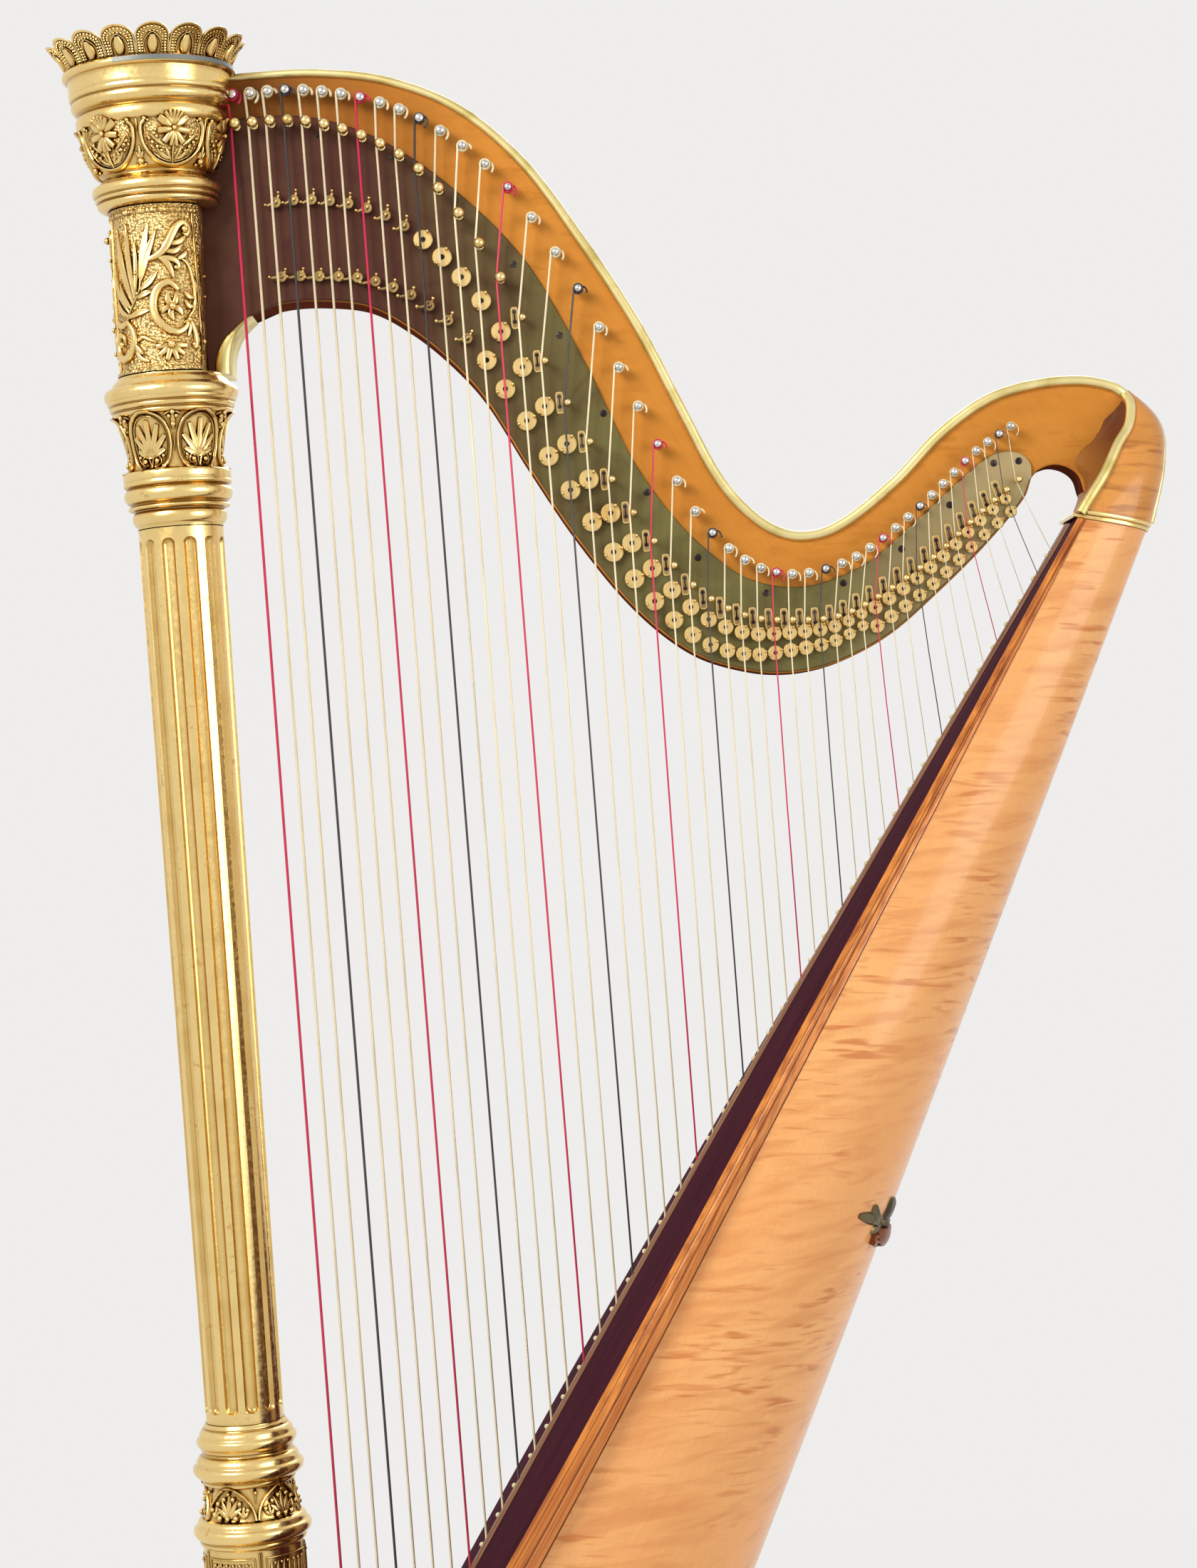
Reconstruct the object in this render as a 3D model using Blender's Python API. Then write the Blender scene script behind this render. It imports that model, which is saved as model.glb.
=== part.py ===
"""A concert pedal harp with a double action, built as separate pieces.

Metres, +Z up. The strings lie in the plane Y = 0, the column stands at the left (-X) and
the player sits at the right (+X). The player's left hand side is -Y. The harp is drawn
with the column's axis on X = 0 and then moved so that the middle of its box is the origin.
"""
import math

import bmesh
import bpy
from mathutils import Vector

MM = 0.001
GAP = 0.3 * MM

# Strings and the harmonic curve. Keys are string numbers, counted from the longest
STRING_COUNT = 47
FIRST_DISC_STRING = 3
LAST_DISC_STRING = 46
MOVING_OCTAVE = 15
NOTES = "CDEFGAB"
SEMITONE_SHARE = 1.0 - 2.0 ** (-1.0 / 12.0)
WHOLE_TONE_SHARE = 1.0 - 2.0 ** (-2.0 / 12.0)
NUT_KEYS = {
    1: (0.0702, 1.7564), 5: (0.1334, 1.7541), 9: (0.1982, 1.7293), 12: (0.2470, 1.6861),
    15: (0.2965, 1.6029), 18: (0.3483, 1.4880), 21: (0.4000, 1.3858), 24: (0.4485, 1.3179),
    27: (0.4925, 1.2878), 30: (0.5348, 1.2805), 33: (0.5755, 1.2808), 36: (0.6125, 1.2955),
    40: (0.6640, 1.3270), 44: (0.7105, 1.3650), 47: (0.7450, 1.3905),
}
PIN_KEYS = {
    1: (0.0731, 1.7834), 5: (0.1366, 1.7831), 9: (0.2038, 1.7672), 12: (0.2558, 1.7382),
    15: (0.3124, 1.6834), 18: (0.3683, 1.5889), 21: (0.4143, 1.4806), 24: (0.4584, 1.3833),
    27: (0.4995, 1.3370), 30: (0.5406, 1.3214), 33: (0.5855, 1.3276), 36: (0.6237, 1.3475),
    40: (0.6697, 1.3827), 44: (0.7121, 1.4191), 47: (0.7444, 1.4387),
}
FOOT_KEYS = {1: 0.0930, 9: 0.3350, 20: 0.6630, 26: 0.8315, 33: 1.0067, 40: 1.1832, 47: 1.3497}
STRING_RADIUS_KEYS = {1: 1.25 * MM, 12: 1.00 * MM, 20: 0.85 * MM, 34: 0.55 * MM, 47: 0.35 * MM}

# Neck, action plates and what they carry
NECK_FACE_Y = 14.3 * MM
NECK_THICKNESS = 44.0 * MM
PLATE_THICKNESS = 3.0 * MM
PLATE_EDGE_INSET = 1.5 * MM
PIN_RADIUS = 3.2 * MM
PIN_REACH_LEFT = 17.5 * MM
PIN_REACH_RIGHT = 22.0 * MM
NUT_RADIUS = 2.4 * MM
NUT_REACH = 14.5 * MM
DISC_RADIUS_KEYS = {
    1: 7.3 * MM, 6: 7.3 * MM, 8: 7.8 * MM, 10: 8.5 * MM, 12: 8.8 * MM, 15: 8.8 * MM,
    20: 8.8 * MM, 22: 8.5 * MM, 25: 7.3 * MM, 27: 6.8 * MM, 36: 6.5 * MM, 47: 5.2 * MM,
}
DISC_THICKNESS = 2.4 * MM
DISC_FACE_Y = 4.6 * MM
TREBLE_DISC_STEP_KEYS = {36: 16.6 * MM, 47: 11.6 * MM}
PRONG_TIP_Y = -3.4 * MM
PRONG_SHARE = 0.86
PRONG_RADIUS_SHARE = 0.13
SPINDLE_RADIUS = 2.0 * MM
SPINDLE_CLEARANCE = 0.45 * MM
UPPER_REST_DEG = 38.0
LOWER_REST_DEG = 68.0

# Column: radius and height of each turned member
FLUTES = 12
FLUTE_DEPTH = 4.0 * MM
SHAFT_BOTTOM = 0.6060
SHAFT_TOP = 1.4000
SHAFT_RADIUS_BOTTOM = 34.5 * MM
SHAFT_WALL = 2.0 * MM
COLUMN_BORE = SHAFT_RADIUS_BOTTOM - FLUTE_DEPTH - SHAFT_WALL
SHAFT_RADIUS_TOP = 37.7 * MM
CROWN_LEAVES = 16
CROWN_TOP = 1.8300
CROWN_FOOT = 1.8085
CROWN_FOOT_RADIUS = 73.0 * MM
CROWN_TIP_RADIUS = 91.0 * MM
TURNED_SIDES = 24

# Body: a chord along the string feet, and the back line
BASE_TOP = 0.2360
CHORD_FOOT = (0.0258, 0.2000)
CHORD_LEAN_DEG = 33.53
BODY_TOP = 1.3505
BODY_TOP_TILT_DEG = 12.5
BACK_DEPTH_AT_FOOT = 0.2780
BACK_TAPER = 0.1512
BELLY = 8.0 * MM
RIB_THICKNESS = 3.0 * MM
RIB_HALF_WIDTH_FOOT = 12.0 * MM
RIB_HALF_WIDTH_TOP = 7.0 * MM
SOUNDBOARD_THICKNESS = 5.0 * MM
SHELL_WALL = 6.0 * MM
MOULDING_WIDTH = 13.0 * MM
MOULDING_FOOT_DEPTH = 36.0 * MM
MOULDING_TOP_DEPTH = 9.7 * MM
BOARD_HALF_WIDTHS = {
    0.00: 0.150, 0.10: 0.178, 0.20: 0.200, 0.30: 0.205, 0.40: 0.192,
    0.52: 0.160, 0.65: 0.122, 0.80: 0.086, 0.92: 0.056, 1.00: 0.043,
}
WING_OVERHANG = 20.0 * MM
SOUND_HOLES = 5
SHELL_BRACES = 3
BLOCK_CLEARANCE = 1.3 * MM
BRACE_CLEARANCE = 0.8 * MM

# Base with the pedal box
BASE_BOTTOM = 0.0360
BASE_WALL = 16.0 * MM
BASE_CEILING = 15.0 * MM
BASE_COVER = 8.0 * MM
BASE_REAR_X = 0.4550
BASE_HALF_WIDTH = 0.1950
FOOT_HEIGHT = BASE_BOTTOM - GAP
FOOT_RADIUS = 30.0 * MM

# Pedals, their axle and the rods in the column
PEDALS = ("d", "c", "b", "e", "f", "g", "a")
PEDAL_AXLE_X = 0.1000
PEDAL_AXLE_Z = 0.1250
PEDAL_AXLE_RADIUS = 4.0 * MM
PEDAL_TRAVEL_DEG = 9.0
PEDAL_SPACING = 44.0 * MM
PEDAL_SPLIT = 60.0 * MM
PEDAL_WIDTH = 9.0 * MM
PEDAL_TIP_X = 0.5640
ROD_RADIUS = 2.3 * MM
ROD_BORE_CLEARANCE = 2.2 * MM
ROD_SPACING = (COLUMN_BORE - ROD_RADIUS - ROD_BORE_CLEARANCE) / ((len(PEDALS) - 1) / 2.0)
ROD_TOP = 1.6400
ROD_CLEARANCE = 0.7 * MM

GILT = ("gilding", (0.83, 0.58, 0.20), 0.28, 1.0)
NECK_WOOD = ("neck_maple", (0.62, 0.27, 0.08), 0.38, 0.0)
SHELL_WOOD = ("flamed_maple", (0.85, 0.50, 0.24), 0.30, 0.0)
EDGE_WOOD = ("edge_moulding", (0.72, 0.30, 0.08), 0.36, 0.0)
SPRUCE = ("soundboard_spruce", (0.42, 0.25, 0.13), 0.50, 0.0)
DARK_WOOD = ("inner_wood", (0.40, 0.27, 0.16), 0.60, 0.0)
PLATE_BRASS = ("plate_brass", (0.45, 0.37, 0.20), 0.42, 1.0)
DISC_BRASS = ("disc_brass", (0.85, 0.68, 0.36), 0.25, 1.0)
STRING_GUT = ("gut", (0.85, 0.78, 0.62), 0.45, 0.0)
STEEL = ("steel", (0.55, 0.55, 0.56), 0.30, 1.0)
BRONZE = ("bronze", (0.36, 0.24, 0.11), 0.40, 1.0)

SUN = Vector((math.sin(math.radians(CHORD_LEAN_DEG)), 0.0, math.cos(math.radians(CHORD_LEAN_DEG))))
OUTWARD = Vector((-SUN.z, 0.0, SUN.x))


def clear_scene():
    for old in list(bpy.data.objects):
        bpy.data.objects.remove(old, do_unlink=True)


def material(finish):
    name, colour, roughness, metallic = finish
    found = bpy.data.materials.get(name)
    if found:
        return found
    made = bpy.data.materials.new(name)
    made.use_nodes = True
    shader = made.node_tree.nodes["Principled BSDF"]
    shader.inputs["Base Color"].default_value = (*colour, 1.0)
    shader.inputs["Roughness"].default_value = roughness
    shader.inputs["Metallic"].default_value = metallic
    return made


def make_object(name, mesh_data, finish, smooth_angle=None):
    """Turn a bmesh into a named object with outward faces."""
    bmesh.ops.recalc_face_normals(mesh_data, faces=mesh_data.faces)
    mesh = bpy.data.meshes.new(name)
    mesh_data.to_mesh(mesh)
    mesh_data.free()
    piece = bpy.data.objects.new(name, mesh)
    bpy.context.scene.collection.objects.link(piece)
    if finish:
        mesh.materials.append(material(finish))
    if smooth_angle:
        mesh.shade_smooth()
        mesh.set_sharp_from_angle(angle=math.radians(smooth_angle))
    return piece


def make_tool(name, mesh_data):
    """A cutter or an addition that only a Boolean uses."""
    tool = make_object(name, mesh_data, None)
    tool.hide_render = True
    tool.display_type = "WIRE"
    return tool


def boolean(piece, tool, operation):
    step = piece.modifiers.new(tool.name, "BOOLEAN")
    step.operation = operation
    step.solver = "EXACT"
    step.object = tool
    return piece


def loft(mesh_data, rings, closed=False):
    """Skin rings of equal length; the first and last are capped unless the loft closes."""
    rows = [[mesh_data.verts.new(point) for point in ring] for ring in rings]
    count = len(rows[0])
    pairs = list(zip(rows, rows[1:]))
    if closed:
        pairs.append((rows[-1], rows[0]))
    for lower, upper in pairs:
        for step in range(count):
            after = (step + 1) % count
            mesh_data.faces.new((lower[step], lower[after], upper[after], upper[step]))
    if not closed:
        mesh_data.faces.new(list(reversed(rows[0])))
        mesh_data.faces.new(rows[-1])


def ring_points(radius, z, sides, centre=(0.0, 0.0), turn=0.0):
    points = []
    for step in range(sides):
        angle = turn + 2.0 * math.pi * step / sides
        points.append(Vector((centre[0] + radius * math.cos(angle),
                              centre[1] + radius * math.sin(angle), z)))
    return points


def turned(profile, sides, bore=None, centre=(0.0, 0.0)):
    """A turned piece from (radius, height) pairs, with an optional straight bore."""
    mesh_data = bmesh.new()
    rings = [ring_points(radius, z, sides, centre) for radius, z in profile]
    if bore:
        rings.append(ring_points(bore, profile[-1][1], sides, centre))
        rings.append(ring_points(bore, profile[0][1], sides, centre))
        loft(mesh_data, rings, closed=True)
    else:
        loft(mesh_data, rings)
    return mesh_data


def add_rod(mesh_data, start, end, radius, sides, end_radius=None, turn=0.0):
    """A straight round or many-sided bar between two points."""
    start = Vector(start)
    end = Vector(end)
    along = (end - start).normalized()
    side = along.orthogonal().normalized()
    if abs(along.y) > 0.9:
        side = Vector((1.0, 0.0, 0.0))
    other = along.cross(side)
    rings = []
    for place, size in ((start, radius), (end, end_radius or radius)):
        ring = []
        for step in range(sides):
            angle = turn + 2.0 * math.pi * step / sides
            ring.append(place + size * (math.cos(angle) * side + math.sin(angle) * other))
        rings.append(ring)
    loft(mesh_data, rings)


def prism(outline, low_y, high_y):
    """Extrude an (x, z) outline through the harp's thickness."""
    mesh_data = bmesh.new()
    rings = [[Vector((x, y, z)) for x, z in outline] for y in (low_y, high_y)]
    loft(mesh_data, rings)
    return mesh_data


def blend(keys, place):
    """Read a smooth curve through numbered keys; values are numbers or tuples."""
    marks = sorted(keys)
    values = [Vector(keys[mark]) if isinstance(keys[mark], tuple) else keys[mark]
              for mark in marks]
    place = min(max(place, marks[0]), marks[-1])
    segment = 0
    while segment < len(marks) - 2 and place > marks[segment + 1]:
        segment += 1

    def slope(mark):
        before = max(mark - 1, 0)
        after = min(mark + 1, len(marks) - 1)
        return (values[after] - values[before]) * (1.0 / (marks[after] - marks[before]))

    span = marks[segment + 1] - marks[segment]
    t = (place - marks[segment]) / span
    start = values[segment] * (2 * t ** 3 - 3 * t ** 2 + 1)
    leave = slope(segment) * ((t ** 3 - 2 * t ** 2 + t) * span)
    end = values[segment + 1] * (3 * t ** 2 - 2 * t ** 3)
    arrive = slope(segment + 1) * ((t ** 3 - t ** 2) * span)
    return start + leave + end + arrive


def smooth_line(points, count):
    """Evenly spaced points, count steps in all, on a smooth curve through a few given ones."""
    keys = {0.0: tuple(points[0])}
    length = 0.0
    for before, after in zip(points, points[1:]):
        length += math.dist(before, after)
        keys[length] = tuple(after)
    return [tuple(blend(keys, length * step / count)) for step in range(count + 1)]


# Places on the strings

def chord_point(along, depth=0.0, y=0.0):
    """A point at a distance along the body's chord and at a depth behind it."""
    start = Vector((CHORD_FOOT[0], 0.0, CHORD_FOOT[1]))
    return start + SUN * along - OUTWARD * depth + Vector((0.0, y, 0.0))


def belly_at(along):
    share = min(max(along / FOOT_KEYS[STRING_COUNT], 0.0), 1.0)
    return BELLY * 4.0 * share * (1.0 - share)


def string_foot(number):
    along = blend(FOOT_KEYS, number)
    return chord_point(along, -belly_at(along))


def string_nut(number):
    x, z = blend(NUT_KEYS, number)
    return Vector((x, 0.0, z))


def string_pin(number):
    x, z = blend(PIN_KEYS, number)
    return Vector((x, 0.0, z))


def string_length(number):
    return (string_nut(number) - string_foot(number)).length


def string_radius(number):
    return blend(STRING_RADIUS_KEYS, number)


def down_string(number, distance):
    nut = string_nut(number)
    return nut + (string_foot(number) - nut).normalized() * distance


def disc_step(number):
    """Distance between the two discs of one string."""
    step = (WHOLE_TONE_SHARE - SEMITONE_SHARE) * string_length(number)
    first_treble = min(TREBLE_DISC_STEP_KEYS)
    if number >= first_treble:
        step = max(step, blend(TREBLE_DISC_STEP_KEYS, number))
    return step


def disc_radius(number):
    return min(blend(DISC_RADIUS_KEYS, number), disc_step(number) / 2.0 - GAP)


def disc_centre(number, lower):
    """The prong that stops the string stands below the disc's centre."""
    radius = disc_radius(number)
    first = SEMITONE_SHARE * string_length(number) - PRONG_SHARE * radius
    first = max(first, NUT_RADIUS + radius + GAP)
    return down_string(number, first + (disc_step(number) if lower else 0.0))


def is_moving(number):
    return MOVING_OCTAVE <= number < MOVING_OCTAVE + len(NOTES)


# Column

FOOT_PROFILE = (
    (46.5, 236.3), (46.5, 250.0), (44.5, 256.0), (44.5, 482.0), (46.5, 489.0), (47.0, 497.0),
    (50.0, 504.0), (53.5, 513.8), (47.5, 520.0), (43.0, 524.0), (39.0, 533.0), (37.2, 549.0),
    (40.0, 553.0), (44.5, 558.0), (49.2, 567.0), (48.2, 573.0), (42.2, 579.0), (44.4, 588.0),
    (44.4, 593.0), (38.5, 600.5), (36.0, 605.7),
)
LOWER_CAPITAL_PROFILE = (
    (40.2, 1400.3), (40.4, 1405.0), (45.3, 1416.5), (43.0, 1421.0), (46.6, 1428.0),
    (46.8, 1436.0), (44.6, 1439.5), (47.2, 1444.5), (44.0, 1450.5), (38.8, 1457.0),
    (39.6, 1468.0), (43.0, 1484.0), (48.8, 1497.5), (52.3, 1501.5), (52.0, 1506.0),
    (57.0, 1511.0), (59.4, 1519.0), (57.0, 1526.0), (50.0, 1532.0), (45.5, 1536.0),
)
DRUM_PROFILE = (
    (44.0, 1536.3), (43.0, 1546.0), (43.4, 1600.0), (42.0, 1660.0), (40.0, 1683.7),
)
BOWL_PROFILE = (
    (47.0, 1684.0), (51.6, 1688.5), (51.0, 1693.0), (55.0, 1698.0), (53.0, 1705.0),
    (50.0, 1710.0), (53.5, 1720.0), (58.5, 1738.0), (62.0, 1755.0), (64.2, 1760.0),
    (63.4, 1768.0), (66.6, 1775.0), (66.0, 1781.0), (70.2, 1788.0), (71.0, 1803.0),
    (75.5, 1804.5), (75.5, 1808.2),
)


def scaled_profile(profile):
    return [(radius * MM, height * MM) for radius, height in profile]


def shaft_ring(z, flute_share):
    """One ring of the fluted shaft: a flat fillet and a hollow for each flute."""
    share = (z - SHAFT_BOTTOM) / (SHAFT_TOP - SHAFT_BOTTOM)
    radius = SHAFT_RADIUS_BOTTOM + (SHAFT_RADIUS_TOP - SHAFT_RADIUS_BOTTOM) * share
    points = []
    pitch = 2.0 * math.pi / FLUTES
    for flute in range(FLUTES):
        for offset, depth in ((-0.31, 0.0), (-0.20, 0.80), (0.0, 1.0), (0.20, 0.80), (0.31, 0.0)):
            angle = (flute + 0.6 + offset) * pitch
            size = radius - FLUTE_DEPTH * depth * flute_share
            points.append(Vector((size * math.cos(angle), size * math.sin(angle), z)))
    return points


def column_shaft():
    plain = 9.0 * MM
    round_end = 6.0 * MM
    low = SHAFT_BOTTOM
    high = SHAFT_TOP
    stations = (
        (low, 0.0), (low + plain, 0.0), (low + plain + round_end, 1.0),
        (high - plain - round_end, 1.0), (high - plain, 0.0), (high, 0.0),
    )
    rings = [shaft_ring(z, share) for z, share in stations]
    for z in (high, low):
        outer = shaft_ring(z, 0.0)
        rings.append([Vector((p.x, p.y, 0.0)).normalized() * COLUMN_BORE + Vector((0, 0, z))
                      for p in outer])
    mesh_data = bmesh.new()
    loft(mesh_data, rings, closed=True)
    return make_object("column_shaft", mesh_data, GILT, 40)


def turned_piece(name, profile, bore=COLUMN_BORE):
    mesh_data = turned(scaled_profile(profile), TURNED_SIDES, bore)
    return make_object(name, mesh_data, GILT, 40)


def crown_leaves():
    """A ring of upright leaves that flare outward, open in the middle."""
    mesh_data = bmesh.new()
    per_leaf = 4
    foot = CROWN_FOOT + GAP
    edge = (0.30, 1.0, 1.0, 0.30)
    thickness = 4.0 * MM
    rings = []
    for share, outer in ((0.0, True), (0.5, True), (1.0, True), (1.0, False), (0.5, False),
                         (0.0, False)):
        ring = []
        for step in range(CROWN_LEAVES * per_leaf):
            angle = 2.0 * math.pi * (step + 0.5) / (CROWN_LEAVES * per_leaf)
            rise = edge[step % per_leaf]
            height = share * (0.35 + 0.65 * rise) * (CROWN_TOP - foot)
            flare = (height / (CROWN_TOP - foot)) ** 1.6
            radius = CROWN_FOOT_RADIUS + (CROWN_TIP_RADIUS - CROWN_FOOT_RADIUS) * flare
            if not outer:
                radius -= thickness
            ring.append(Vector((radius * math.cos(angle), radius * math.sin(angle),
                                foot + height)))
        rings.append(ring)
    loft(mesh_data, rings, closed=True)
    return make_object("crown_leaves", mesh_data, GILT, 35)


def column():
    turned_piece("column_foot", FOOT_PROFILE)
    column_shaft()
    turned_piece("capital_lower", LOWER_CAPITAL_PROFILE)
    turned_piece("capital_drum", DRUM_PROFILE)
    turned_piece("crown_bowl", BOWL_PROFILE, None)
    crown_leaves()


def capital_envelope():
    """The capital's outside plus a gap, which trims the neck and the plates."""
    profile = [(45.5, 1490.0)]
    for piece in (LOWER_CAPITAL_PROFILE[12:], DRUM_PROFILE[1:-1], BOWL_PROFILE):
        profile.extend(piece)
    profile.append((75.5, 1830.0))
    grown = [(radius * MM + GAP, height * MM) for radius, height in profile]
    return make_tool("capital_envelope", turned(grown, TURNED_SIDES))


# Neck and action plates

NECK_TOP = (
    (0.0250, 1.8035), (0.0964, 1.8050), (0.1491, 1.8035), (0.2115, 1.7920), (0.2728, 1.7633),
    (0.3281, 1.7108), (0.3750, 1.6390), (0.4218, 1.5554), (0.4581, 1.4726), (0.4854, 1.4126),
    (0.5144, 1.3767), (0.5449, 1.3597), (0.5810, 1.3634), (0.6349, 1.3988), (0.6810, 1.4407),
    (0.7260, 1.4686), (0.7699, 1.4790), (0.8129, 1.4792), (0.8424, 1.4710), (0.8526, 1.4627),
)
KNEE_FOLD = (
    (0.8526, 1.4627), (0.8543, 1.4497), (0.8492, 1.4307), (0.8373, 1.4143), (0.8213, 1.3875),
    (0.8059, 1.3671),
)
KNEE_BACK = (
    (0.8550, 1.4658), (0.8690, 1.4519), (0.8787, 1.4372), (0.8824, 1.4197), (0.8807, 1.4048),
    (0.8759, 1.3836),
)
KNEE_SEAT_X = (0.7963, 0.8606)
BAND_THICKNESS = 4.2 * MM
KNEE_ARCH = (
    (0.8110, 1.3690), (0.8073, 1.3765), (0.8033, 1.3910), (0.7942, 1.3992), (0.7815, 1.4026),
    (0.7684, 1.3989), (0.7615, 1.3929),
)
NECK_LOW = (
    (0.7615, 1.3929), (0.7537, 1.3751), (0.7164, 1.3359), (0.6705, 1.2962), (0.6250, 1.2618),
    (0.5805, 1.2414), (0.5393, 1.2338), (0.4981, 1.2379), (0.4475, 1.2578), (0.3987, 1.3016),
    (0.3512, 1.3674), (0.3118, 1.4356), (0.2770, 1.5002), (0.2460, 1.5383), (0.2143, 1.5670),
    (0.1800, 1.5880), (0.1362, 1.5958), (0.1023, 1.5955), (0.0750, 1.5885), (0.0600, 1.5731),
    (0.0535, 1.5567), (0.0496, 1.5400), (0.0250, 1.5400),
)
PLATE_TOP = (
    (0.0500, 1.7610), (0.0938, 1.7643), (0.1417, 1.7602), (0.1890, 1.7430), (0.2374, 1.7110),
    (0.2868, 1.6642), (0.3197, 1.6238), (0.3416, 1.5855), (0.3744, 1.5134), (0.4067, 1.4331),
    (0.4445, 1.3733), (0.4819, 1.3347), (0.5020, 1.3206), (0.5322, 1.3112), (0.5640, 1.3114),
    (0.6082, 1.3265), (0.6536, 1.3598), (0.6993, 1.3963), (0.7175, 1.4100), (0.7309, 1.4166),
    (0.7439, 1.4174), (0.7544, 1.4139), (0.7613, 1.4048), (0.7615, 1.3929),
)
NECK_TOP_STEPS = 42
KNEE_ARCH_STEPS = 7
NECK_LOW_STEPS = 38
PLATE_TOP_STEPS = 38
PLATE_LOW_STEPS = 37
KNEE_LINE_STEPS = 120
KNEE_SECTIONS = 7
KNEE_LAP = 5.0 * MM


def inset_line(points, distance):
    """Move an (x, z) line sideways, to the left of its direction."""
    moved = []
    for index, (x, z) in enumerate(points):
        before = points[max(index - 1, 0)]
        after = points[min(index + 1, len(points) - 1)]
        length = math.dist(before, after)
        moved.append((x + (before[1] - after[1]) / length * distance,
                      z + (after[0] - before[0]) / length * distance))
    return moved


def neck_outline():
    line = smooth_line(NECK_TOP, NECK_TOP_STEPS)
    line += inset_line(KNEE_FOLD[1:5], KNEE_LAP)
    line += smooth_line(KNEE_ARCH, KNEE_ARCH_STEPS)
    line += smooth_line(NECK_LOW, NECK_LOW_STEPS)[1:]
    return line


def plate_outline():
    line = smooth_line(PLATE_TOP, PLATE_TOP_STEPS)
    lower = smooth_line(NECK_LOW[:-2], PLATE_LOW_STEPS)
    line += inset_line(lower, -PLATE_EDGE_INSET)[1:]
    return line


def knee_seat(x):
    """Height at which the knee stands on the gilt band, at a place along the harp."""
    front, toward_back, _, _ = station(1.0)
    slope = toward_back.z / toward_back.x
    return front.z + slope * (x - front.x) + (BAND_THICKNESS + 2.0 * GAP) / toward_back.x


def knee_solid():
    """The rounded knee: a D section that widens from the neck down to the body."""
    front_x, back_x = KNEE_SEAT_X
    fold = list(reversed(smooth_line(KNEE_FOLD + ((front_x, knee_seat(front_x)),),
                                     KNEE_LINE_STEPS)))
    back = list(reversed(smooth_line(KNEE_BACK + ((back_x, knee_seat(back_x)),),
                                     KNEE_LINE_STEPS)))
    right_face = NECK_FACE_Y + NECK_THICKNESS
    rings = []
    for section in range(KNEE_SECTIONS):
        share = section / (KNEE_SECTIONS - 1)
        inner = Vector(fold[round(share * (len(fold) - 1))])
        outer = Vector(back[round(share * (len(back) - 1))])
        left = -0.043 + (NECK_FACE_Y - 0.002 + 0.043) * share ** 1.6
        right = 0.043 + (right_face - 0.0005 - 0.043) * min(1.0, 1.8 * share)
        ease = max(0.0, min(1.0, (share - 0.12) / 0.3))
        wedge = 0.034 * ease
        reach = (outer - inner).length
        across = (outer - inner).normalized()
        profile = [(-wedge - 0.004 * ease, NECK_FACE_Y + 0.006), (-wedge, NECK_FACE_Y + 0.0008),
                   (-0.35 * wedge, left + 0.45 * (NECK_FACE_Y - left) * ease), (0.0, left)]
        middle = (left + right) / 2.0
        half = (right - left) / 2.0
        for step in range(1, 8):
            angle = math.pi * step / 8.0
            profile.append((reach * math.sin(angle) ** 0.8,
                            middle - half * math.copysign(abs(math.cos(angle)) ** 0.8,
                                                          math.cos(angle))))
        profile.append((0.0, right))
        profile.append((-0.004 * ease - wedge, right))
        ring = []
        for u, y in profile:
            place = inner + across * u
            ring.append(Vector((place.x, y, place.y)))
        rings.append(ring)
    mesh_data = bmesh.new()
    loft(mesh_data, rings)
    return make_tool("knee_solid", mesh_data)


def tuning_pins():
    """Tapered pins right through the neck, square where the key goes on."""
    mesh_data = bmesh.new()
    right_face = NECK_FACE_Y + NECK_THICKNESS
    for number in range(1, STRING_COUNT + 1):
        pin = string_pin(number)
        left_end = pin + Vector((0.0, NECK_FACE_Y - PIN_REACH_LEFT, 0.0))
        middle = pin + Vector((0.0, NECK_FACE_Y + NECK_THICKNESS / 2.0, 0.0))
        add_rod(mesh_data, left_end, middle, PIN_RADIUS, 6)
        right_end = pin + Vector((0.0, right_face + PIN_REACH_RIGHT, 0.0))
        add_rod(mesh_data, middle + Vector((0.0, 0.004, 0.0)), right_end, PIN_RADIUS, 4)
    return make_tool("tuning_pins", mesh_data)


def neck(envelope):
    right_face = NECK_FACE_Y + NECK_THICKNESS
    plank = make_object("neck", prism(neck_outline(), NECK_FACE_Y, right_face), NECK_WOOD, 30)
    boolean(plank, knee_solid(), "UNION")
    boolean(plank, envelope, "DIFFERENCE")
    boolean(plank, tuning_pins(), "UNION")
    return plank


def fixed_disc(mesh_data, number, lower):
    centre = disc_centre(number, lower)
    back = NECK_FACE_Y - GAP - PLATE_THICKNESS / 2.0
    hub = centre + Vector((0.0, back, 0.0))
    face = centre + Vector((0.0, DISC_FACE_Y, 0.0))
    add_rod(mesh_data, face, hub, disc_radius(number), 8)


def prong_direction(number, lower):
    rest = math.radians(LOWER_REST_DEG if lower else UPPER_REST_DEG)
    down = (string_foot(number) - string_nut(number)).normalized()
    angle = math.atan2(down.z, down.x) + math.pi - rest
    return Vector((math.cos(angle), 0.0, math.sin(angle)))


def add_prongs(mesh_data, number, lower, sides):
    direction = prong_direction(number, lower)
    centre = disc_centre(number, lower)
    radius = disc_radius(number)
    root = Vector((0.0, DISC_FACE_Y + DISC_THICKNESS / 2.0, 0.0))
    tip = Vector((0.0, PRONG_TIP_Y, 0.0))
    for sign in (-1.0, 1.0):
        place = centre + direction * (sign * PRONG_SHARE * radius)
        add_rod(mesh_data, place + tip, place + root, PRONG_RADIUS_SHARE * radius, sides)


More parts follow.
